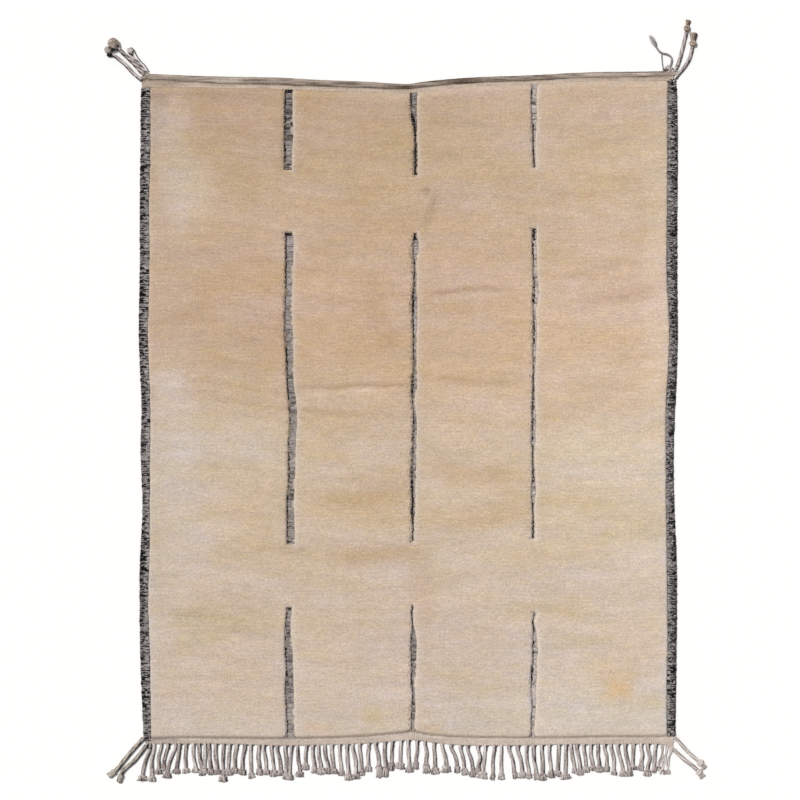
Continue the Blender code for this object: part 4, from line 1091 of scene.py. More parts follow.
    # the two curved ends, as fans from one inner corner
    a, b = left[n_rim - 1], right[n_rim - 1]
    body.tris.append(np.stack([low[1:-1], np.full(across - 2, a), low[2:]], -1))
    fan = np.concatenate([left[: n_rim - 1]])
    body.tris.append(np.stack([fan, np.concatenate([fan[1:], [a]]), np.full(n_rim - 1, low[1])], -1))
    fan = right[:n_rim]
    body.tris.append(np.stack([fan[:-1], np.full(n_rim - 1, a), fan[1:]], -1))
    a, b = left[-n_rim], right[-n_rim]
    body.tris.append(np.stack([high[2:], np.full(across - 2, a), high[1:-1]], -1))
    fan = left[-n_rim:]
    body.tris.append(np.stack([fan[:-1], fan[1:], np.full(n_rim - 1, high[1])], -1))
    fan = right[-n_rim:]
    body.tris.append(np.stack([fan[1:], fan[:-1], np.full(n_rim - 1, a)], -1))

    colour = np.ones((body.count, 3)) * np.array(linear(190, 168, 144))
    colour[: rows_n * across] = pile_tones(x, y, west, east, rim_x, rim_y).reshape(-1, 3)
    # down in the bare lines the ground is grey
    colour[: rows_n * across][(z < GROUND + 1 * MM).reshape(-1)] = linear(70, 62, 58)
    colour[: rows_n * across][((z < GROUND + 1 * MM) & (foot < 0.03) & (line > 1.5 * MM)).reshape(-1)] = linear(164, 152, 141)
    made = body.build("rug_pile", PILE_WOOL, colour)
    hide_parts("pile_field")
    return made


pile = make_pile()



def make_edge_tufts():
    """Knots of pile at the edges, each its own small tuft, leaning out over the bare lines and the bindings."""
    rng = np.random.default_rng(12)
    base, lean, high = [], [], []

    def along(x, y, ax, ay, top):
        base.append(np.column_stack([x, y]))
        lean.append(np.column_stack([ax, ay]))
        high.append(top)

    for name, line in LINES.items():
        near, far = line_edges[name]
        first, start, end, last = (e * MM for e in line["ends"])
        middle_x = float(near(0.0))
        for y0, y1, closed_low, closed_high in (
            (first, float(top_pile(middle_x)) - 4 * MM, True, False),
            (end, start, True, True),
            (float(bottom_pile(middle_x)) + 6 * MM, last, False, True),
        ):
            for edge, sign in ((near, 1), (far, -1)):
                y = np.arange(y0, y1, 0.0042)
                y = y + rng.uniform(-1.2, 1.2, len(y)) * MM
                x = edge(y) - sign * rng.uniform(1.2, 3.2, len(y)) * MM
                waver = np.clip(noise1(y, 0.0085, 231 + int(abs(y0) * 100)) + 0.15, -0.2, 1)
                out = (rng.uniform(0.3, 2.8, len(y)) + (3.4 if name == "left" else 3.0) * waver) * MM
                along(x, y, sign * out, rng.uniform(-1.6, 1.6, len(y)) * MM, rng.uniform(11.0, 15.5, len(y)) * MM)
            for yy, sign, there in ((y0, 1, closed_low), (y1, -1, closed_high)):
                if there:
                    x = np.arange(float(near(yy)) - 1 * MM, float(far(yy)) + 1 * MM, 0.0038)
                    y = np.full(len(x), yy) - sign * rng.uniform(1.0, 3.0, len(x)) * MM
                    along(x, y, rng.uniform(-1.5, 1.5, len(x)) * MM, sign * rng.uniform(0.5, 4.0, len(x)) * MM, rng.uniform(11, 15.5, len(x)) * MM)
    for edge, sign in ((left_inner, -1), (right_inner, 1)):
        y = np.arange(-1.478, 1.452, 0.0056)
        y = y + rng.uniform(-1.5, 1.5, len(y)) * MM
        x = edge(y) - sign * rng.uniform(1.5, 3.5, len(y)) * MM
        reach = rng.uniform(0.5, 4.6, len(y)) + 3.6 * np.clip(noise1(y, 0.010, 241), -0.1, 1)
        along(x, y, sign * reach * MM, rng.uniform(-1.6, 1.6, len(y)) * MM, rng.uniform(11.5, 14.0, len(y)) * MM)
    x = np.arange(-1.165, 1.160, 0.0056)
    y = bottom_pile(x) + rng.uniform(1.5, 4.0, len(x)) * MM
    along(x, y, rng.uniform(-1.6, 1.6, len(x)) * MM, -rng.uniform(0.5, 4.0, len(x)) * MM, rng.uniform(8.0, 10.0, len(x)) * MM)
    base, lean, high = np.concatenate(base), np.concatenate(lean), np.concatenate(high)
    count = len(base)
    radius = rng.uniform(1.7, 2.6, count) * MM
    angle = np.linspace(0, 2 * math.pi, 5, endpoint=False)[None, :] + rng.uniform(0, 2, (count, 1))
    sections = []
    for share, thin, rise in ((0.0, 0.9, -3.0), (0.45, 1.0, 0.4), (1.0, 0.45, 0.6)):
        centre = base + lean * share
        ring = centre[:, None, :] + np.stack([np.cos(angle), np.sin(angle)], -1) * (radius * thin)[:, None, None]
        z = high + rise * MM - share * 1.5 * MM
        sections.append(np.concatenate([ring, np.broadcast_to(z[:, None, None], (count, 5, 1))], -1))
    points = np.stack(sections, 1)
    body = Body()
    body.many(points)
    where = np.concatenate(body.points)
    x, y = where[:, 0], where[:, 1]
    far = np.ones_like(x)
    colour = pile_tones(x, y, far, far, far, far)
    own = np.repeat(rng.uniform(0.78, 1.04, count), 15)
    own = np.concatenate([own, own[::15], own[::15]])
    greyer = np.array([0.99, 1.0, 1.04])
    colour = np.clip(colour * own[:, None] * greyer, 0, 1)
    made = body.build("edge_tufts", PILE_WOOL, colour)
    return made


edge_tufts = make_edge_tufts()

# ---------------------------------------------------------------- the bare ground in the lines
BAR = 6.1 * MM
# Where the black yarn shows broadly: from y, to y, from and to which share of the line's width
BLACK_RUNS = {
    "left": (
        (1440, 1456, 0.0, 1.0), (1236, 1318, 0.80, 1.0), (1292, 1338, 0.0, 0.20), (1100, 1192, 0.0, 0.26), (1091, 1096, 0.0, 1.0),
        (791, 808, 0.0, 0.85), (560, 790, 0.0, 0.15), (182, 350, 0.0, 0.22), (80, 150, 0.0, 0.18), (-330, -205, 0.0, 0.20),
        (-520, -470, 0.0, 0.16), (-609, -596, 0.0, 0.30), (-912, -897, 0.0, 0.75), (-960, -905, 0.0, 0.25), (-1108, -1036, 0.0, 0.20), (-1240, -1172, 0.0, 0.28),
    ),
    "middle": (
        (1395, 1440, 0.0, 0.22), (1340, 1385, 0.0, 0.35), (1270, 1340, 0.15, 0.60), (1068, 1262, 0.25, 0.75), (1067, 1080, 0.0, 1.0),
        (772, 804, 0.0, 0.75), (560, 650, 0.0, 0.55), (430, 545, 0.0, 0.42), (250, 420, 0.05, 0.35), (40, 240, 0.10, 0.40),
        (-60, 40, 0.0, 0.32), (-400, -60, 0.05, 0.42), (-595, -400, 0.20, 0.65), (-1010, -892, 0.10, 0.55), (-1140, -1010, 0.0, 0.22), (-1330, -1180, 0.05, 0.35),
    ),
    "right": (
        (1400, 1468, 0.0, 0.25), (1190, 1300, 0.20, 0.55), (1102, 1190, 0.25, 0.70),
        (770, 826, 0.05, 0.85), (640, 760, 0.0, 0.40), (480, 600, 0.0, 0.50), (300, 420, 0.2, 0.6), (60, 200, 0.25, 0.65), (-140, 40, 0.15, 0.5),
        (-330, -160, 0.2, 0.65), (-584, -420, 0.2, 0.7), (-1010, -922, 0.2, 0.6), (-1230, -1050, 0.0, 0.35), (-1468, -1300, 0.0, 0.25),
    ),
}


def make_weave():
    """Grey weft bars across each bare line, with a black strip up its left side that wanders: black yarn, and with it
    the painted shadow of the pile's left wall.
    """
    body = Body()
    rng = np.random.default_rng(8)
    for order, (name, line) in enumerate(LINES.items()):
        near, far = line_edges[name]
        first, start, end, last = (e * MM for e in line["ends"])
        middle_x = float(near(0.0))
        for y0, y1 in (
            (first - 1 * MM, float(top_pile(middle_x)) - 1 * MM),
            (end - 1 * MM, start + 1 * MM),
            (float(bottom_pile(middle_x)) + 1 * MM, last + 1 * MM),
        ):
            bars = max(4, int(round((y1 - y0) / BAR)))
            tones = {"left": 0.54, "middle": 0.59, "right": 0.84}[name] + 0.085 * rng.standard_normal(bars)
            if y1 > 1.2 and name != "right":
                tones = tones - (0.16 if name == "left" else 0.11)
            dark = rng.random(bars) < 0.10
            tones[dark] = rng.uniform(0.34, 0.48, dark.sum())
            edges = np.linspace(y0, y1, bars + 1) + np.concatenate([[0], rng.uniform(-1.2, 1.2, bars - 1) * MM, [0]])
            t = np.arange(bars * 4 + 1) / 4
            ys = np.interp(t, np.arange(bars + 1), edges)
            within = t - np.floor(t)
            rise = np.sin(math.pi * np.where(t == bars, 0, within)) ** 0.6
            which = np.minimum(np.floor(t).astype(int), bars - 1)
            u = np.linspace(0, 1, 15)[None, :]
            low, high = near(ys)[:, None] - 2.5 * MM, far(ys)[:, None] + 2.5 * MM
            wide = high - low
            x = low + wide * u
            bow = 1.3 * MM * np.sin(math.pi * u) * noise1(ys, 0.04, 90)[:, None]
            y = ys[:, None] + bow + 0.8 * MM * noise2(x, ys[:, None], 0.008, 0.02, 91)
            z = GROUND + 0.3 * MM + (2.0 * rise[:, None] + 0.6 + 0.5 * noise2(x, y, 0.007, 0.01, 92)) * MM
            slow = 0.15 * noise1(ys, 0.055, 94 + order)[:, None] + 0.07 * noise1(ys, 0.018, 97 + order)[:, None]
            # painted shade in the dips between weft bars, broken here and there
            broken_seam = np.clip(0.62 + 0.8 * noise2(x, y, 0.011, 0.007, 95), 0, 1.2)
            tone = tones[which][:, None] + slow + 0.08 * noise2(x, y, 0.012, 0.0040, 93) - 0.50 * (1 - rise[:, None]) * broken_seam
            # the black yarn: a strip up the left side, which is also the painted shadow of the pile's left wall, and
            # broader runs
            from_left = (x - near(ys)[:, None]) / MM
            broad = {"left": 5.0, "middle": 4.3, "right": 1.8}[name] + 2.8 * noise1(ys, 0.024, 101 + order) + 3.6 * noise1(ys, 0.0062, 104 + order)
            broad = np.where(noise1(ys, 0.07, 107 + order) < -0.45, broad - 4.5, broad)[:, None]
            if name == "left":
                broad = np.maximum(broad, 2.8)
            black = step(broad + 1.2, broad - 1.2, from_left)
            jag = 0.10 * noise1(ys, 0.0065, 111 + order)[:, None] + 0.06 * noise1(ys, 0.020, 114 + order)[:, None]
            share = from_left / ((wide - 5 * MM) / MM)
            for run0, run1, side0, side1 in BLACK_RUNS[name]:
                inside = ((ys > run0 * MM) & (ys < run1 * MM))[:, None]
                broken = noise2(x, y, 0.007, 0.009, 117 + order) > -0.62
                band = (share > side0 + (jag if side0 > 0 else -0.5)) & (share < side1 + (jag if side1 < 1 else 0.5))
                black = np.where(inside & band & broken, 1.0, black)
            tone = tone * (1 - black) + (0.01 + 0.06 * rise[:, None]) * black
            # a pale loop here and there
            tone = np.where((noise2(x, y, 0.006, 0.006, 120 + order) > 0.80) & (black < 0.5), tone + 0.18, tone)
            body.grid(np.stack([x, y, z], -1), tone)
    made = body.build("ground_weave", WEAVE_WOOL)
    return made


weave = make_weave()


# ---------------------------------------------------------------- side bindings
def make_binding(name, cad, outer, inner, side, y0, y1, seed, wrap, plan):
    """Grey and black yarn wrapped round two bundles of edge warps, fine and uneven."""
    body = Body()
    rng = np.random.default_rng(seed)
    rows = int((y1 - y0) / 0.00150)
    y = np.linspace(y0, y1, rows + 1)[:, None]
    u = np.array([0.0, 0.0, 0.03, 0.09, 0.16, 0.23, 0.30, 0.37, 0.43, 0.48, 0.53, 0.60, 0.67, 0.75, 0.83, 0.90, 0.96, 1.0, 1.0])[None, :]
    base = np.array([0.0, 0.30, 0.60, 0.83, 0.96, 1.0, 0.97, 0.89, 0.79, 0.74, 0.79, 0.87, 0.93, 0.96, 0.94, 0.89, 0.80, 0.68, 0.0])[None, :]
    lean = plan["lean"] * side
    slant = np.where(u < 0.48, (u - 0.22) * lean, (u - 0.75) * -0.25 * lean)
    wander = 1.6 * MM * noise1(y[:, 0], 0.04, seed + 1)[:, None] + 1.0 * MM * noise2(u * 0.05 + 0 * y, y, 0.02, 0.015, seed + 9)
    position = (y + slant + wander) / wrap
    k = np.floor(position).astype(int)
    within = position - k
    rise = np.sin(math.pi * within) ** 0.55
    count = int((y1 - y0) / wrap) + 60
    k = k - int(y0 / wrap) + 20
    # each wrap is dark or pale in three lengths: over the outer bundle, between, over the inner one
    odd = (np.arange(count) % 2)[:, None]
    chance = np.array(plan["dark"])[None, :] * (0.55 + 0.90 * odd)
    slow = noise1(np.arange(count) * wrap, 0.045, seed + 2)[:, None]
    dark = rng.random((count, 3)) < chance + 0.22 * slow
    own = np.array([plan["outer"], 0.5 * (plan["outer"] + plan["inner"]), plan["inner"]])[None, :]
    own = own + 0.10 * rng.standard_normal((count, 3)) + 0.07 * slow
    own = np.where(dark, rng.uniform(0.0, 0.15, (count, 3)) * np.array([0.7, 1.0, 1.3])[None, :], own)
    first = 0.34 + 0.10 * rng.standard_normal(count)
    second = 0.66 + 0.08 * rng.standard_normal(count)
    k = np.clip(k, 0, count - 1)
    one, two = step(-0.05, 0.05, u - first[k]), step(-0.05, 0.05, u - second[k])
    tone = own[k, 0] * (1 - one) + own[k, 1] * one * (1 - two) + own[k, 2] * two
    x0 = u * 0.042
    tone = tone + 0.11 * noise2(x0 + 0 * y, y + slant, 0.012, 0.0034, seed + 4) + 0.08 * noise2(x0 + 0 * y, y, 0.0046, 0.0052, seed + 5)
    # the yarn turns out of sight between two wraps: a thin line of painted shade, broken here and there
    seam = (1 - rise) * (0.55 + 0.75 * noise2(x0 + 0 * y, y, 0.011, 0.006, seed + 16))
    tone = tone - 0.30 * np.clip(seam, 0, 1)
    loop = (noise2(x0 + 0 * y, y, 0.0052, 0.0046, seed + 17) > 0.66) & (u > 0.5) & (u < 0.95)
    tone = np.where(loop, np.maximum(tone, 0.34) + 0.28, tone)
    # painted shade in the crease where the binding meets the pile, in black patches
    crease_shade = (noise2(x0 + 0 * y, y, 0.008, 0.0042, seed + 18) > 0.36) & (u > 0.84)
    tone = np.where(crease_shade, 0.10, tone)
    if plan["stitch"]:
        # black stitches that slant over the outer bundle
        turn = (y - side * u * 0.040) / plan["stitch"] + 0.35 * noise1(y[:, 0], 0.05, seed + 8)[:, None]
        which = np.floor(turn).astype(int)
        on = (turn - which < 0.42 + 0.16 * noise1(y[:, 0], 0.02, seed + 10)[:, None]) & (u < plan["split"] - 0.02) & (u > 0.05)
        on &= (rng.random(4000)[which % 4000] < 0.70) & (noise2(x0 + 0 * y, y, 0.007, 0.006, seed + 14) > -0.35)
        tone = np.where(on, 0.10, tone)
        bead = (noise2(x0 + 0 * y, y, 0.006, 0.0055, seed + 11) > 0.74) & (u < plan["split"] + 0.1)
        tone = np.where(bead, 0.86, tone)
    a, b = outer(y), inner(y) + side * 0.3 * MM
    ragged = 1.6 * MM * noise1(y[:, 0], 0.011, seed + 5)[:, None] + 0.8 * MM * noise1(y[:, 0], 0.005, seed + 15)[:, None]
    bulge = (1.3 * rise - 0.65 + 0.9 * np.where(k % 2 == 1, -0.5, 0.5)) * MM
    x = a + (b - a) * u + np.where(u < 0.5, side * (bulge + ragged), 0) * (1 - u) ** 2
    x = x - np.where(u > 0.8, side * (2.4 + 1.4 * noise1(y[:, 0], 0.012, seed + 13)[:, None]) * MM, 0) * u**2
    z = 11.0 * MM * base * (1 + 0.05 * noise1(y[:, 0], 0.03, seed + 6)[:, None]) + np.where(base > 0.3, 1.5 * MM * (rise - 0.45), 0)
    z = np.where(base == 0.0, 0.0, np.maximum(z, 0.5 * MM))
    points = np.stack([x, y + 0 * x, z], -1)
    if side < 0:
        body.grid(points, tone, wrap=True, start_cap=True, end_cap=True)
    else:
        body.grid(points[:, ::-1], tone[:, ::-1], wrap=True, start_cap=True, end_cap=True)
    made = body.build(name, BINDING_WOOL)
    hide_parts(cad)
    return made


binding_left = make_binding(
    "side_wraps_left", "binding_left", left_outer, left_inner, -1, -1.4914, 1.4638, 21, 5.1 * MM,
    {"lean": 0.010, "outer": 0.44, "inner": 0.47, "split": 0.42, "dark": (0.55, 0.36, 0.24), "stitch": 0},
)
binding_right = make_binding(
    "side_wraps_right", "binding_right", right_outer, right_inner, 1, -1.4834, 1.4962, 47, 5.2 * MM,
    {"lean": 0.016, "outer": 0.43, "inner": 0.46, "split": 0.52, "dark": (0.62, 0.50, 0.20), "stitch": 22 * MM},
)


# ---------------------------------------------------------------- bands at the two ends
def make_top_band():
    """A flat-woven band and, outside it, a ridge of long twisted strands."""
    body = Body()
    x = np.concatenate([np.linspace(-1.2175, -1.17, 18), np.linspace(-1.17, 1.165, 900)[1:-1], np.linspace(1.165, 1.2115, 18)])[:, None]
    outer = top_outer(x)
    flare = np.interp(x, np.array([-1213, -1200, -1192, -1179]) * MM, np.array([-8, 4, 11.5, 0]) * MM)
    flare = np.where(x < -1.179, flare, 0)
    right = np.interp(x, np.array([1150, 1174, 1187, 1201, 1208, 1212]) * MM, np.array([0, 7, 14.5, 8.2, 5, -9]) * MM)
    outer = outer + flare + np.where(x > 1.15, right, 0) + 0.7 * MM * noise1(x[:, 0], 0.02, 5)[:, None]
    line = top_line(x) + np.maximum(flare, 0) * 0.4 + 0.8 * MM * noise1(x[:, 0], 0.03, 6)[:, None]
    pile_y = top_pile(x) - 3.0 * MM + 0.8 * MM * noise1(x[:, 0], 0.02, 7)[:, None]
    places = (  # from the outer edge in: share of its strip, height in mm. First the ridge, then the flat band
        ("ridge", 0.0, 0.0), ("ridge", -0.02, 2.5), ("ridge", 0.02, 5.0), ("ridge", 0.10, 7.4), ("ridge", 0.20, 8.9),
        ("ridge", 0.32, 9.7), ("ridge", 0.44, 9.9), ("ridge", 0.56, 9.6), ("ridge", 0.68, 9.3), ("ridge", 0.80, 8.4), ("ridge", 0.90, 6.6),
        ("ridge", 0.97, 4.4), ("flat", 0.0, 3.4), ("flat", 0.10, 4.4), ("flat", 0.25, 5.4), ("flat", 0.40, 5.8), ("flat", 0.55, 5.4),
        ("flat", 0.70, 5.6), ("flat", 0.85, 5.4), ("flat", 1.0, 4.6), ("flat", 1.0, 0.0),
    )
    ys, zs, tones, tints = [], [], [], []
    strands = noise1(x[:, 0], 0.4, 9)[:, None]
    for n, (where, share, high) in enumerate(places):
        if where == "ridge":
            y = outer + (line - outer) * share
            if high > 3:
                twist = np.sin(2 * math.pi * (x / 0.034 + share * 1.35 + 0.2 * strands))
                bars = np.abs(twist) ** 0.6
                z = high * MM + 1.0 * MM * (bars - 0.6)
                unevenness = np.interp(x, (-1.2, -0.8, -0.3, 0.0, 0.25, 0.5, 0.9, 1.2), (0.38, 0.34, 0.28, 0.20, 0.16, 0.25, 0.36, 0.44))
                # painted highlight along the ridge's crest and on the raised turns of the twist
                tone = unevenness + 0.12 * math.exp(-(((share - 0.45) / 0.22) ** 2)) + 0.12 * (bars - 0.5) + 0.25 * noise2(x, y, 0.060, 0.0045, 14) + 0.05 * noise1(x[:, 0], 0.2, 15)[:, None]
                tone = tone - 0.04 * share - (0.08 if share < 0.1 else 0)
                tone = tone - 0.20 * math.exp(-(((share - 0.04) / 0.07) ** 2))
                tone = tone + step(0.4, 1.0, x) * (-0.16 if share < 0.38 else 0.10)
                # painted shade in the line between the ridge's two strands
                between_strands = 0.50 + 0.10 * noise1(x[:, 0], 0.09, 20)[:, None]
                tone = tone - (0.16 + 0.14 * noise1(x[:, 0], 0.05, 23)[:, None]) * np.exp(-(((share - between_strands) / 0.09) ** 2))
            else:
                z, tone = high * MM + 0 * x, 0.35 + 0 * x
        else:
            y = line + (pile_y - line) * share
            fine = np.sin(2 * math.pi * x / 0.0056)
            z = np.where(high > 0, (high + 0.35 * fine + 0.4 * noise2(x, y, 0.02, 0.006, 16)) * MM, 0)
            # painted shadow of the ridge along the band's outer edge
            deep = 0.20 + 0.24 * step(-0.95, -0.4, x) - 0.22 * step(0.3, 1.0, x) + 0.14 * noise1(x[:, 0], 0.06, 19)[:, None]
            dark = -deep * np.exp(-((share / (0.14 - 0.04 * step(0.2, 0.9, x))) ** 2))
            tone = 0.45 - 0.12 * step(-0.9, -1.15, x) + dark + 0.12 * noise2(x, y, 0.05, 0.004, 17) + 0.07 * noise2(x, y, 0.006, 0.006, 18)
            tone = tone + 0.20 * min(share / 0.6, 1.0) + 0.04 * step(0.0, 0.3, x) - 0.10 * step(0.4, 1.0, x)
        ys.append(y)
        zs.append(z + 0 * x)
        tones.append(tone + 0 * x)
        # the flat band takes on the pile's tan towards it; the ridge is greyer at the left
        tan = 0.0 if where == "ridge" else 0.40 + 0.60 * min(share / 0.5, 1.0)
        tints.append(np.array([1.0, 0.995, 0.98]) + tan * np.array([0.01, -0.035, -0.09]) + 0 * x[..., None])
    y, z, tone = np.hstack(ys), np.hstack(zs), np.hstack(tones)
    tint = np.concatenate(tints, 1)
    points = np.stack([x + 0 * y, y, z], -1)
    body.grid(points[:, ::-1], tone[:, ::-1], wrap=True, start_cap=True, end_cap=True)
    colour = np.ones((body.count, 3))
    colour[: tint.shape[0] * tint.shape[1]] = tint[:, ::-1].reshape(-1, 3)
    made = body.build("band_top", TINTED_BAND_WOOL, colour)
    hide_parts("heading_top")
    return made


def make_bottom_band():
    """A flat band ribbed by its warps, with a few lengthwise stitches."""
    body = Body()
    x = np.linspace(-1.1965, 1.1985, 1100)[:, None]
    high_y, low_y = bottom_pile(x) + 2.5 * MM, bottom_root(x) + 0.4 * MM * noise1(x[:, 0], 0.02, 25)[:, None]
    shares = np.array([0.0, 0.0, 0.10, 0.22, 0.36, 0.50, 0.64, 0.78, 0.90, 0.97, 1.0])[None, :]
    heights = np.array([0.0, 3.6, 4.6, 5.3, 5.5, 5.4, 5.5, 5.4, 5.0, 3.6, 0.0])[None, :]
    y = high_y + (low_y - high_y) * shares
    rib = np.sin(2 * math.pi * (x / 0.0092 + 0.15 * noise2(x, y, 0.05, 0.02, 26)))
    stitch = np.exp(-(((shares - 0.30) / 0.07) ** 2)) * (noise1(x[:, 0], 0.008, 27)[:, None] > 0.1)
    z = np.where(heights > 0, (heights + 0.45 * rib + 0.7 * stitch) * MM, 0)
    tone = 0.70 - 0.055 * step(0.1, -0.4, x) + 0.05 * rib + 0.09 * noise2(x, y, 0.05, 0.01, 28) + 0.10 * stitch + 0.09 * noise2(x, y, 0.008, 0.006, 29)
    # painted shadow of the pile's edge along the band's top, and painted shade at the tassel roots along its lower edge
    pile_shadow = 0.34 + 0.16 * noise1(x[:, 0], 0.05, 30)[:, None] + 0.14 * noise1(x[:, 0], 0.012, 31)[:, None]
    pile_shadow = pile_shadow * (1 - 0.55 * step(-0.2, 0.6, x))
    tone = tone - 1.2 * pile_shadow * np.exp(-(((shares - 0.03) / 0.09) ** 2)) - 0.12 * np.exp(-(((shares - 1.0) / 0.06) ** 2))
    left = step(-1.03, -1.10, x) * (np.exp(-(((shares - 0.22) / 0.05) ** 2)) + 0.8 * np.exp(-(((shares - 0.50) / 0.05) ** 2)) + 0.7 * np.exp(-(((shares - 0.78) / 0.05) ** 2)))
    tone = tone - 0.30 * left
    points = np.stack([x + 0 * y, y, z + 0 * y], -1)
    body.grid(points, tone, wrap=True, start_cap=True, end_cap=True, )
    made = body.build("band_bottom", BAND_WOOL, flip=True)
    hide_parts("heading_bottom")
    return made


band_top = make_top_band()
band_bottom = make_bottom_band()

# ---------------------------------------------------------------- fringe
# One row for each tassel: root x, sideways place at mid-length and at the knot, how far down
# the knot's middle and the cut ends lie, and the knot's width.
TASSELS = (
    (-1181, -1201, -1215, 153, 168, 44), (-1163, -1173, -1172, 157, 171, 35), (-1129, -1142, -1141, 122, 138, 33), (-1099, -1110, -1120, 104, 124, 24),
    (-1066, -1086, -1102, 139, 157, 34), (-1047, -1052, -1060, 125, 137, 38), (-1017, -1020, -1018, 121, 134, 36), (-984, -983, -974, 119, 132, 33),
    (-957, -955, -944, 127, 145, 34), (-930, -930, -934, 116, 138, 30), (-911, -910, -904, 124, 142, 30), (-883, -882, -875, 125, 140, 34),
    (-847, -849, -848, 153, 173, 34), (-819, -822, -825, 123, 142, 40), (-788, -795, -795, 114, 133, 32), (-750, -759, -760, 121, 139, 34),
    (-723, -723, -721, 137, 153, 36), (-686, -689, -683, 116, 138, 33), (-664, -656, -652, 118, 136, 30), (-629, -623, -618, 121, 142, 34),
    (-603, -592, -586, 118, 137, 30), (-566, -561, -560, 133, 154, 34), (-538, -543, -545, 139, 156, 32), (-509, -507, -499, 127, 143, 40),
    (-470, -473, -473, 93, 112, 40), (-442, -439, -433, 107, 127, 32), (-414, -412, -403, 113, 134, 37), (-386, -382, -370, 111, 132, 33),
    (-355, -352, -347, 116, 132, 42), (-319, -317, -310, 125, 142, 31), (-285, -283, -278, 143, 164, 34), (-258, -246, -244, 146, 160, 32),
    (-228, -222, -219, 130, 146, 32), (-187, -189, -188, 114, 130, 34), (-154, -144, -140, 109, 160, 30), (-114, -114, -109, 120, 162, 30),
    (-79, -81, -82, 104, 134, 30), (-40, -42, -43, 109, 130, 40), (-7, -5, -2, 130, 147, 35), (34, 34, 28, 104, 132, 32),
    (71, 78, 74, 109, 146, 38), (110, 114, 115, 123, 144, 37), (148, 160, 166, 109, 132, 44), (188, 206, 215, 104, 130, 31),
    (231, 242, 248, 115, 137, 30), (263, 279, 287, 125, 145, 34), (310, 322, 312, 111, 132, 34), (344, 340, 333, 128, 151, 45),
    (385, 378, 379, 137, 157, 27), (418, 416, 417, 134, 155, 31), (452, 467, 475, 125, 152, 27), (491, 504, 512, 128, 149, 40),
    (532, 533, 543, 137, 152, 31), (563, 566, 575, 134, 158, 30), (600, 604, 605, 139, 162, 36), (635, 637, 644, 128, 151, 29),
    (678, 676, 674, 128, 145, 31), (710, 710, 708, 144, 158, 40), (735, 740, 749, 116, 131, 24), (760, 769, 776, 125, 140, 30),
    (791, 798, 802, 111, 128, 34), (824, 824, 832, 105, 120, 28), (857, 857, 863, 109, 128, 32), (886, 895, 897, 107, 126, 32),
    (917, 928, 929, 130, 140, 28), (946, 958, 970, 132, 148, 36), (980, 988, 999, 130, 148, 30), (1017, 1016, 1015, 109, 118, 37),
    (1052, 1059, 1052, 105, 122, 29), (1083, 1092, 1082, 128, 148, 40), (1118, 1114, 1112, 118, 131, 25), (1149, 1148, 1133, 107, 118, 20),
    (1170, 1162, 1151, 117, 131, 20), (1189, 1177, 1175, 108, 119, 20),
)


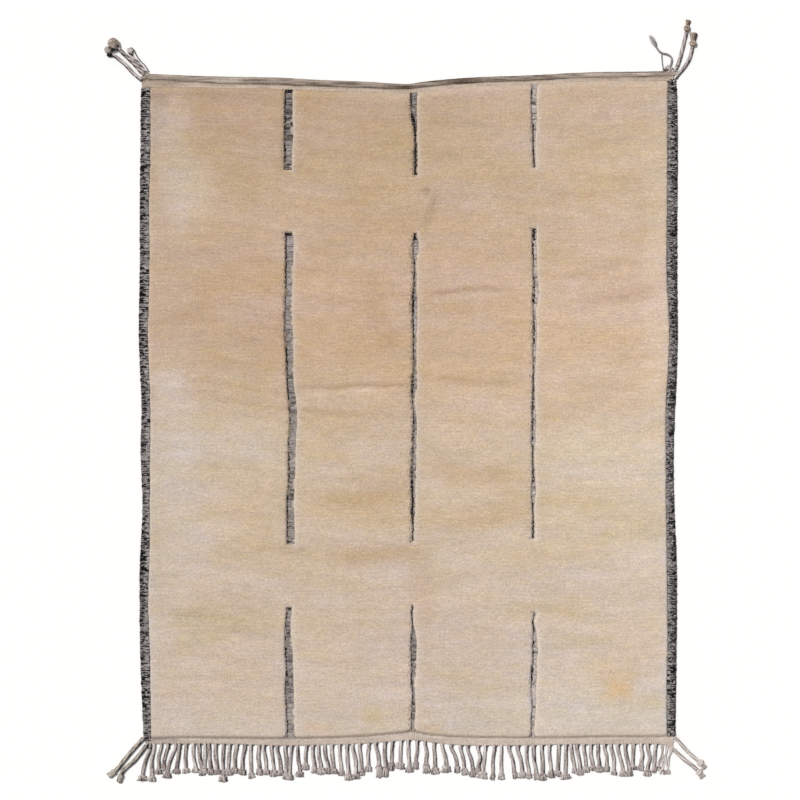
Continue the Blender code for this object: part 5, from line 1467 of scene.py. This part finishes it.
def make_fringe():
    """The warps below the band, twisted into cords that each end in a bell-shaped knot."""
    body, threads, brown = Body(), Body(), Body()
    for n, (root, mid, knot_x, drop, end, wide) in enumerate(TASSELS):
        rng = np.random.default_rng(500 + n)
        y0 = float(bottom_root(root * MM)) + 5 * MM
        fall = drop * MM - 9 * MM
        thin = root > 1140
        radius = (5.6 if thin else rng.uniform(8.0, 9.2)) * MM
        spots = np.array(
            [
                (root, y0),
                (root, y0 - 0.18 * fall),
                (mid, y0 - 0.56 * fall),
                (mid * 0.25 + knot_x * 0.75, y0 - 0.84 * fall),
                (knot_x, y0 - 5 * MM - fall),
            ]
        )
        spots[:, 1] /= MM
        flat, _ = smooth_route(spots, 0.0055)
        share = np.linspace(0, 1, len(flat))
        width = radius * (1 + 0.10 * np.exp(-((share / 0.05) ** 2)) + 0.07 * noise1(share + n, 0.22, 600 + n) + 0.10 * step(0.82, 1.0, share))
        lift = radius * np.interp(share, (0, 0.12, 1), (0.46, 0.68, 0.72))
        tone = 0.63 + 0.05 * rng.standard_normal() + (0.12 if thin else 0)
        strands = [(flat, lift, width)]
        if thin:
            # two thin plies that cross on the way to the knot they share
            ahead = np.gradient(flat, axis=0)
            across = np.column_stack([-ahead[:, 1], ahead[:, 0]]) / np.linalg.norm(ahead, axis=1)[:, None]
            swing = 4.4 * MM * np.cos(1.5 * math.pi * share)
            over = 3.0 * MM * np.exp(-(((share - 0.33) / 0.16) ** 2))
            strands = [(flat + across * (sign * swing)[:, None], lift * 0.75 + over * (sign > 0), width * 0.70) for sign in (1, -1)]
        for place, height, thick in strands:
            rope(
                body,
                np.column_stack([place, height]),
                thick,
                lobes=2 if rng.random() < 0.7 else 3,
                depth=0.26,
                pitch=rng.choice([-1, 1]) * rng.uniform(0.16, 0.40),
                sides=16,
                phase=rng.uniform(-0.5, 0.5) + math.pi / 2,
                tone=tone,
                tone_spread=0.05,
                seed=700 + n,
                flat=0.66,
                rough=0.03,
                under=0.16 if thin else rng.uniform(0.36, 0.54),
                edge=(0.22, 0.36),
                dashes=0.12,
                groove_shade=0.34,
                rim=0.07,
            )
        # the black thread that comes round from the band at each root's right, which also stands in for the painted
        # shade the band casts there
        if n and not thin and rng.random() < 0.72:
            r = radius / MM
            way = ((root + r + rng.uniform(5, 9), spots[0][1] - 3.5), (root + r + 3, spots[0][1] - 6.5), (root + r + 0.2, spots[0][1] - 12), (root + r * 0.96, spots[0][1] - rng.uniform(22, 34)))
            bent, _ = smooth_route(way, 0.003)
            strand(threads, np.column_stack([bent, np.linspace(5.4, 6.4, len(bent)) * MM]), rng.uniform(1.5, 2.1) * MM, rng.uniform(0.06, 0.20), sides=6, taper=0.6)
        heading = math.atan2(flat[-1][1] - flat[-4][1], flat[-1][0] - flat[-4][0])
        bell(
            body,
            flat[-1],
            heading + math.radians(rng.uniform(-9, 9)),
            radius * 0.95,
            max(wide * 0.5, 12.5) * MM * rng.uniform(1.05, 1.50),
            (12.5 if not thin else 9) * MM,
            max(0.016, (end - drop) * MM + 8 * MM),
            int(np.clip(wide / 3.4, 7, 12)),
            tone,
            900 + n,
            wisp=3 if rng.random() < 0.6 else 2,
        )
        # brown wool from the warp caught in some of the knots
        for _ in range(int(rng.integers(1, 7)) + (6 if n == 3 else 0)):
            turn = heading + math.radians(rng.uniform(-60, 60))
            at = np.array([flat[-1][0], flat[-1][1]]) + rng.uniform(-0.30, 0.30) * wide * MM * np.array([-math.sin(heading), math.cos(heading)])
            t = np.linspace(0, 1, 5)
            reach = rng.uniform(0.010, 0.022)
            line = np.column_stack([at[0] + np.cos(turn) * t * reach, at[1] + np.sin(turn) * t * reach, (12.6 - 6 * t**2) * MM])
            strand(brown, line, rng.uniform(1.1, 1.6) * MM, rng.uniform(0.15, 0.70), sides=6, taper=0.7)
    made = body.build("tassels", CORD_WOOL)
    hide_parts("fringe")
    dark = threads.build("tassel_threads", DARK_WOOL)
    warm = brown.build("tassel_ends_brown", BROWN_WOOL)
    return [made, dark, warm]


fringe = make_fringe()

# ---------------------------------------------------------------- short ends of yarn at the corners
def make_corner_ends():
    beige, black = Body(), Body()
    tangle(beige, -1190, -1500, 15, 14, 11, 1.8, 9, 0.80, 0.12, 31, 0.5, 0.026)
    tangle(black, -1191, -1501, 14, 12, 12, 1.7, 9, 0.03, 0.04, 32, 0.3, 0.020)
    tangle(beige, -1194, -1519, 8, 7, 9, 1.9, 8, 0.62, 0.16, 51, 0.3, 0.022)
    tangle(black, -1190, -1526, 7, 7, 6, 1.4, 9, 0.16, 0.12, 52, 0.3, 0.020)
    tangle(black, -1180, -1529, 17, 7, 12, 1.4, 13, 0.12, 0.10, 33, 0.25, 0.020)
    tangle(beige, -1206, 1524, 9, 9, 7, 1.8, 9, 0.60, 0.10, 34, 0.4, 0.026)
    tangle(black, -1197, 1530, 12, 5, 4, 1.3, 8, 0.06, 0.05, 35, 0.3, 0.018)
    tangle(beige, 1184, 1552, 18, 7, 16, 1.8, 9, 0.74, 0.14, 36, 0.5, 0.024)
    tangle(beige, 1199, 1541, 9, 12, 14, 1.8, 9, 0.70, 0.14, 53, 0.4, 0.022)
    tangle(black, 1166, 1547, 10, 4, 6, 1.4, 8, 0.03, 0.04, 37, 0.3, 0.016)
    tangle(black, 1199, 1545, 5, 4, 5, 1.4, 10, 0.03, 0.04, 54, 0.3, 0.014)
    tangle(beige, 1199, 1506, 9, 13, 14, 1.7, 10, 0.84, 0.10, 38, 0.35, 0.016)
    tangle(black, 1200, 1500, 11, 14, 17, 1.7, 11, 0.03, 0.04, 39, 0.25, 0.013)
    tangle(beige, 1198, -1497, 8, 10, 7, 1.7, 7, 0.84, 0.08, 40, 0.3, 0.016)
    tangle(black, 1194, -1474, 12, 9, 15, 1.8, 12, 0.03, 0.03, 41, 0.2, 0.012)
    tangle(beige, 1195, -1470, 12, 10, 8, 1.6, 12.5, 0.62, 0.10, 42, 0.2, 0.011)
    made = []
    for name, body, material, slot in (("corner_ends_beige", beige, CORD_WOOL, "beige_wool"), ("corner_ends_black", black, DARK_WOOL, "grey_wool")):
        made.append(body.build(name, material))
    return made


corner_ends = make_corner_ends()

# ---------------------------------------------------------------- floor, light
floor_material = bpy.data.materials.new("floor")
floor_material.use_nodes = True
floor_material.node_tree.nodes["Principled BSDF"].inputs["Base Color"].default_value = (0.95, 0.95, 0.95, 1)
floor_material.node_tree.nodes["Principled BSDF"].inputs["Roughness"].default_value = 1.0
floor_material.node_tree.nodes["Principled BSDF"].inputs["Specular IOR Level"].default_value = 0.0
floor_mesh = bpy.data.meshes.new("floor")
floor_mesh.from_pydata([(-40, -40, -0.0002), (40, -40, -0.0002), (40, 40, -0.0002), (-40, 40, -0.0002)], [], [(0, 1, 2, 3)])
floor_mesh.materials.append(floor_material)
floor = bpy.data.objects.new("floor", floor_mesh)
bpy.context.collection.objects.link(floor)

world = bpy.data.worlds.new("world")
world.use_nodes = True
world.node_tree.nodes["Background"].inputs["Color"].default_value = (1.0, 1.0, 1.0, 1)
world.node_tree.nodes["Background"].inputs["Strength"].default_value = 0.33
bpy.context.scene.world = world

sun_data = bpy.data.lights.new("key", "SUN")
sun_data.energy = 2.80
sun_data.angle = math.radians(5)
sun_data.color = (1.0, 0.99, 0.97)
sun = bpy.data.objects.new("key", sun_data)
bpy.context.collection.objects.link(sun)
to_light = np.array([-0.58, 0.48, 1.12])
sun.rotation_mode = "QUATERNION"
from mathutils import Vector

sun.rotation_quaternion = Vector(to_light).to_track_quat("Z", "Y")

bpy.context.scene.view_settings.view_transform = "Standard"
bpy.context.scene.view_settings.look = "None"
bpy.context.scene.view_settings.exposure = 0.0
bpy.context.scene.view_settings.gamma = 1.0
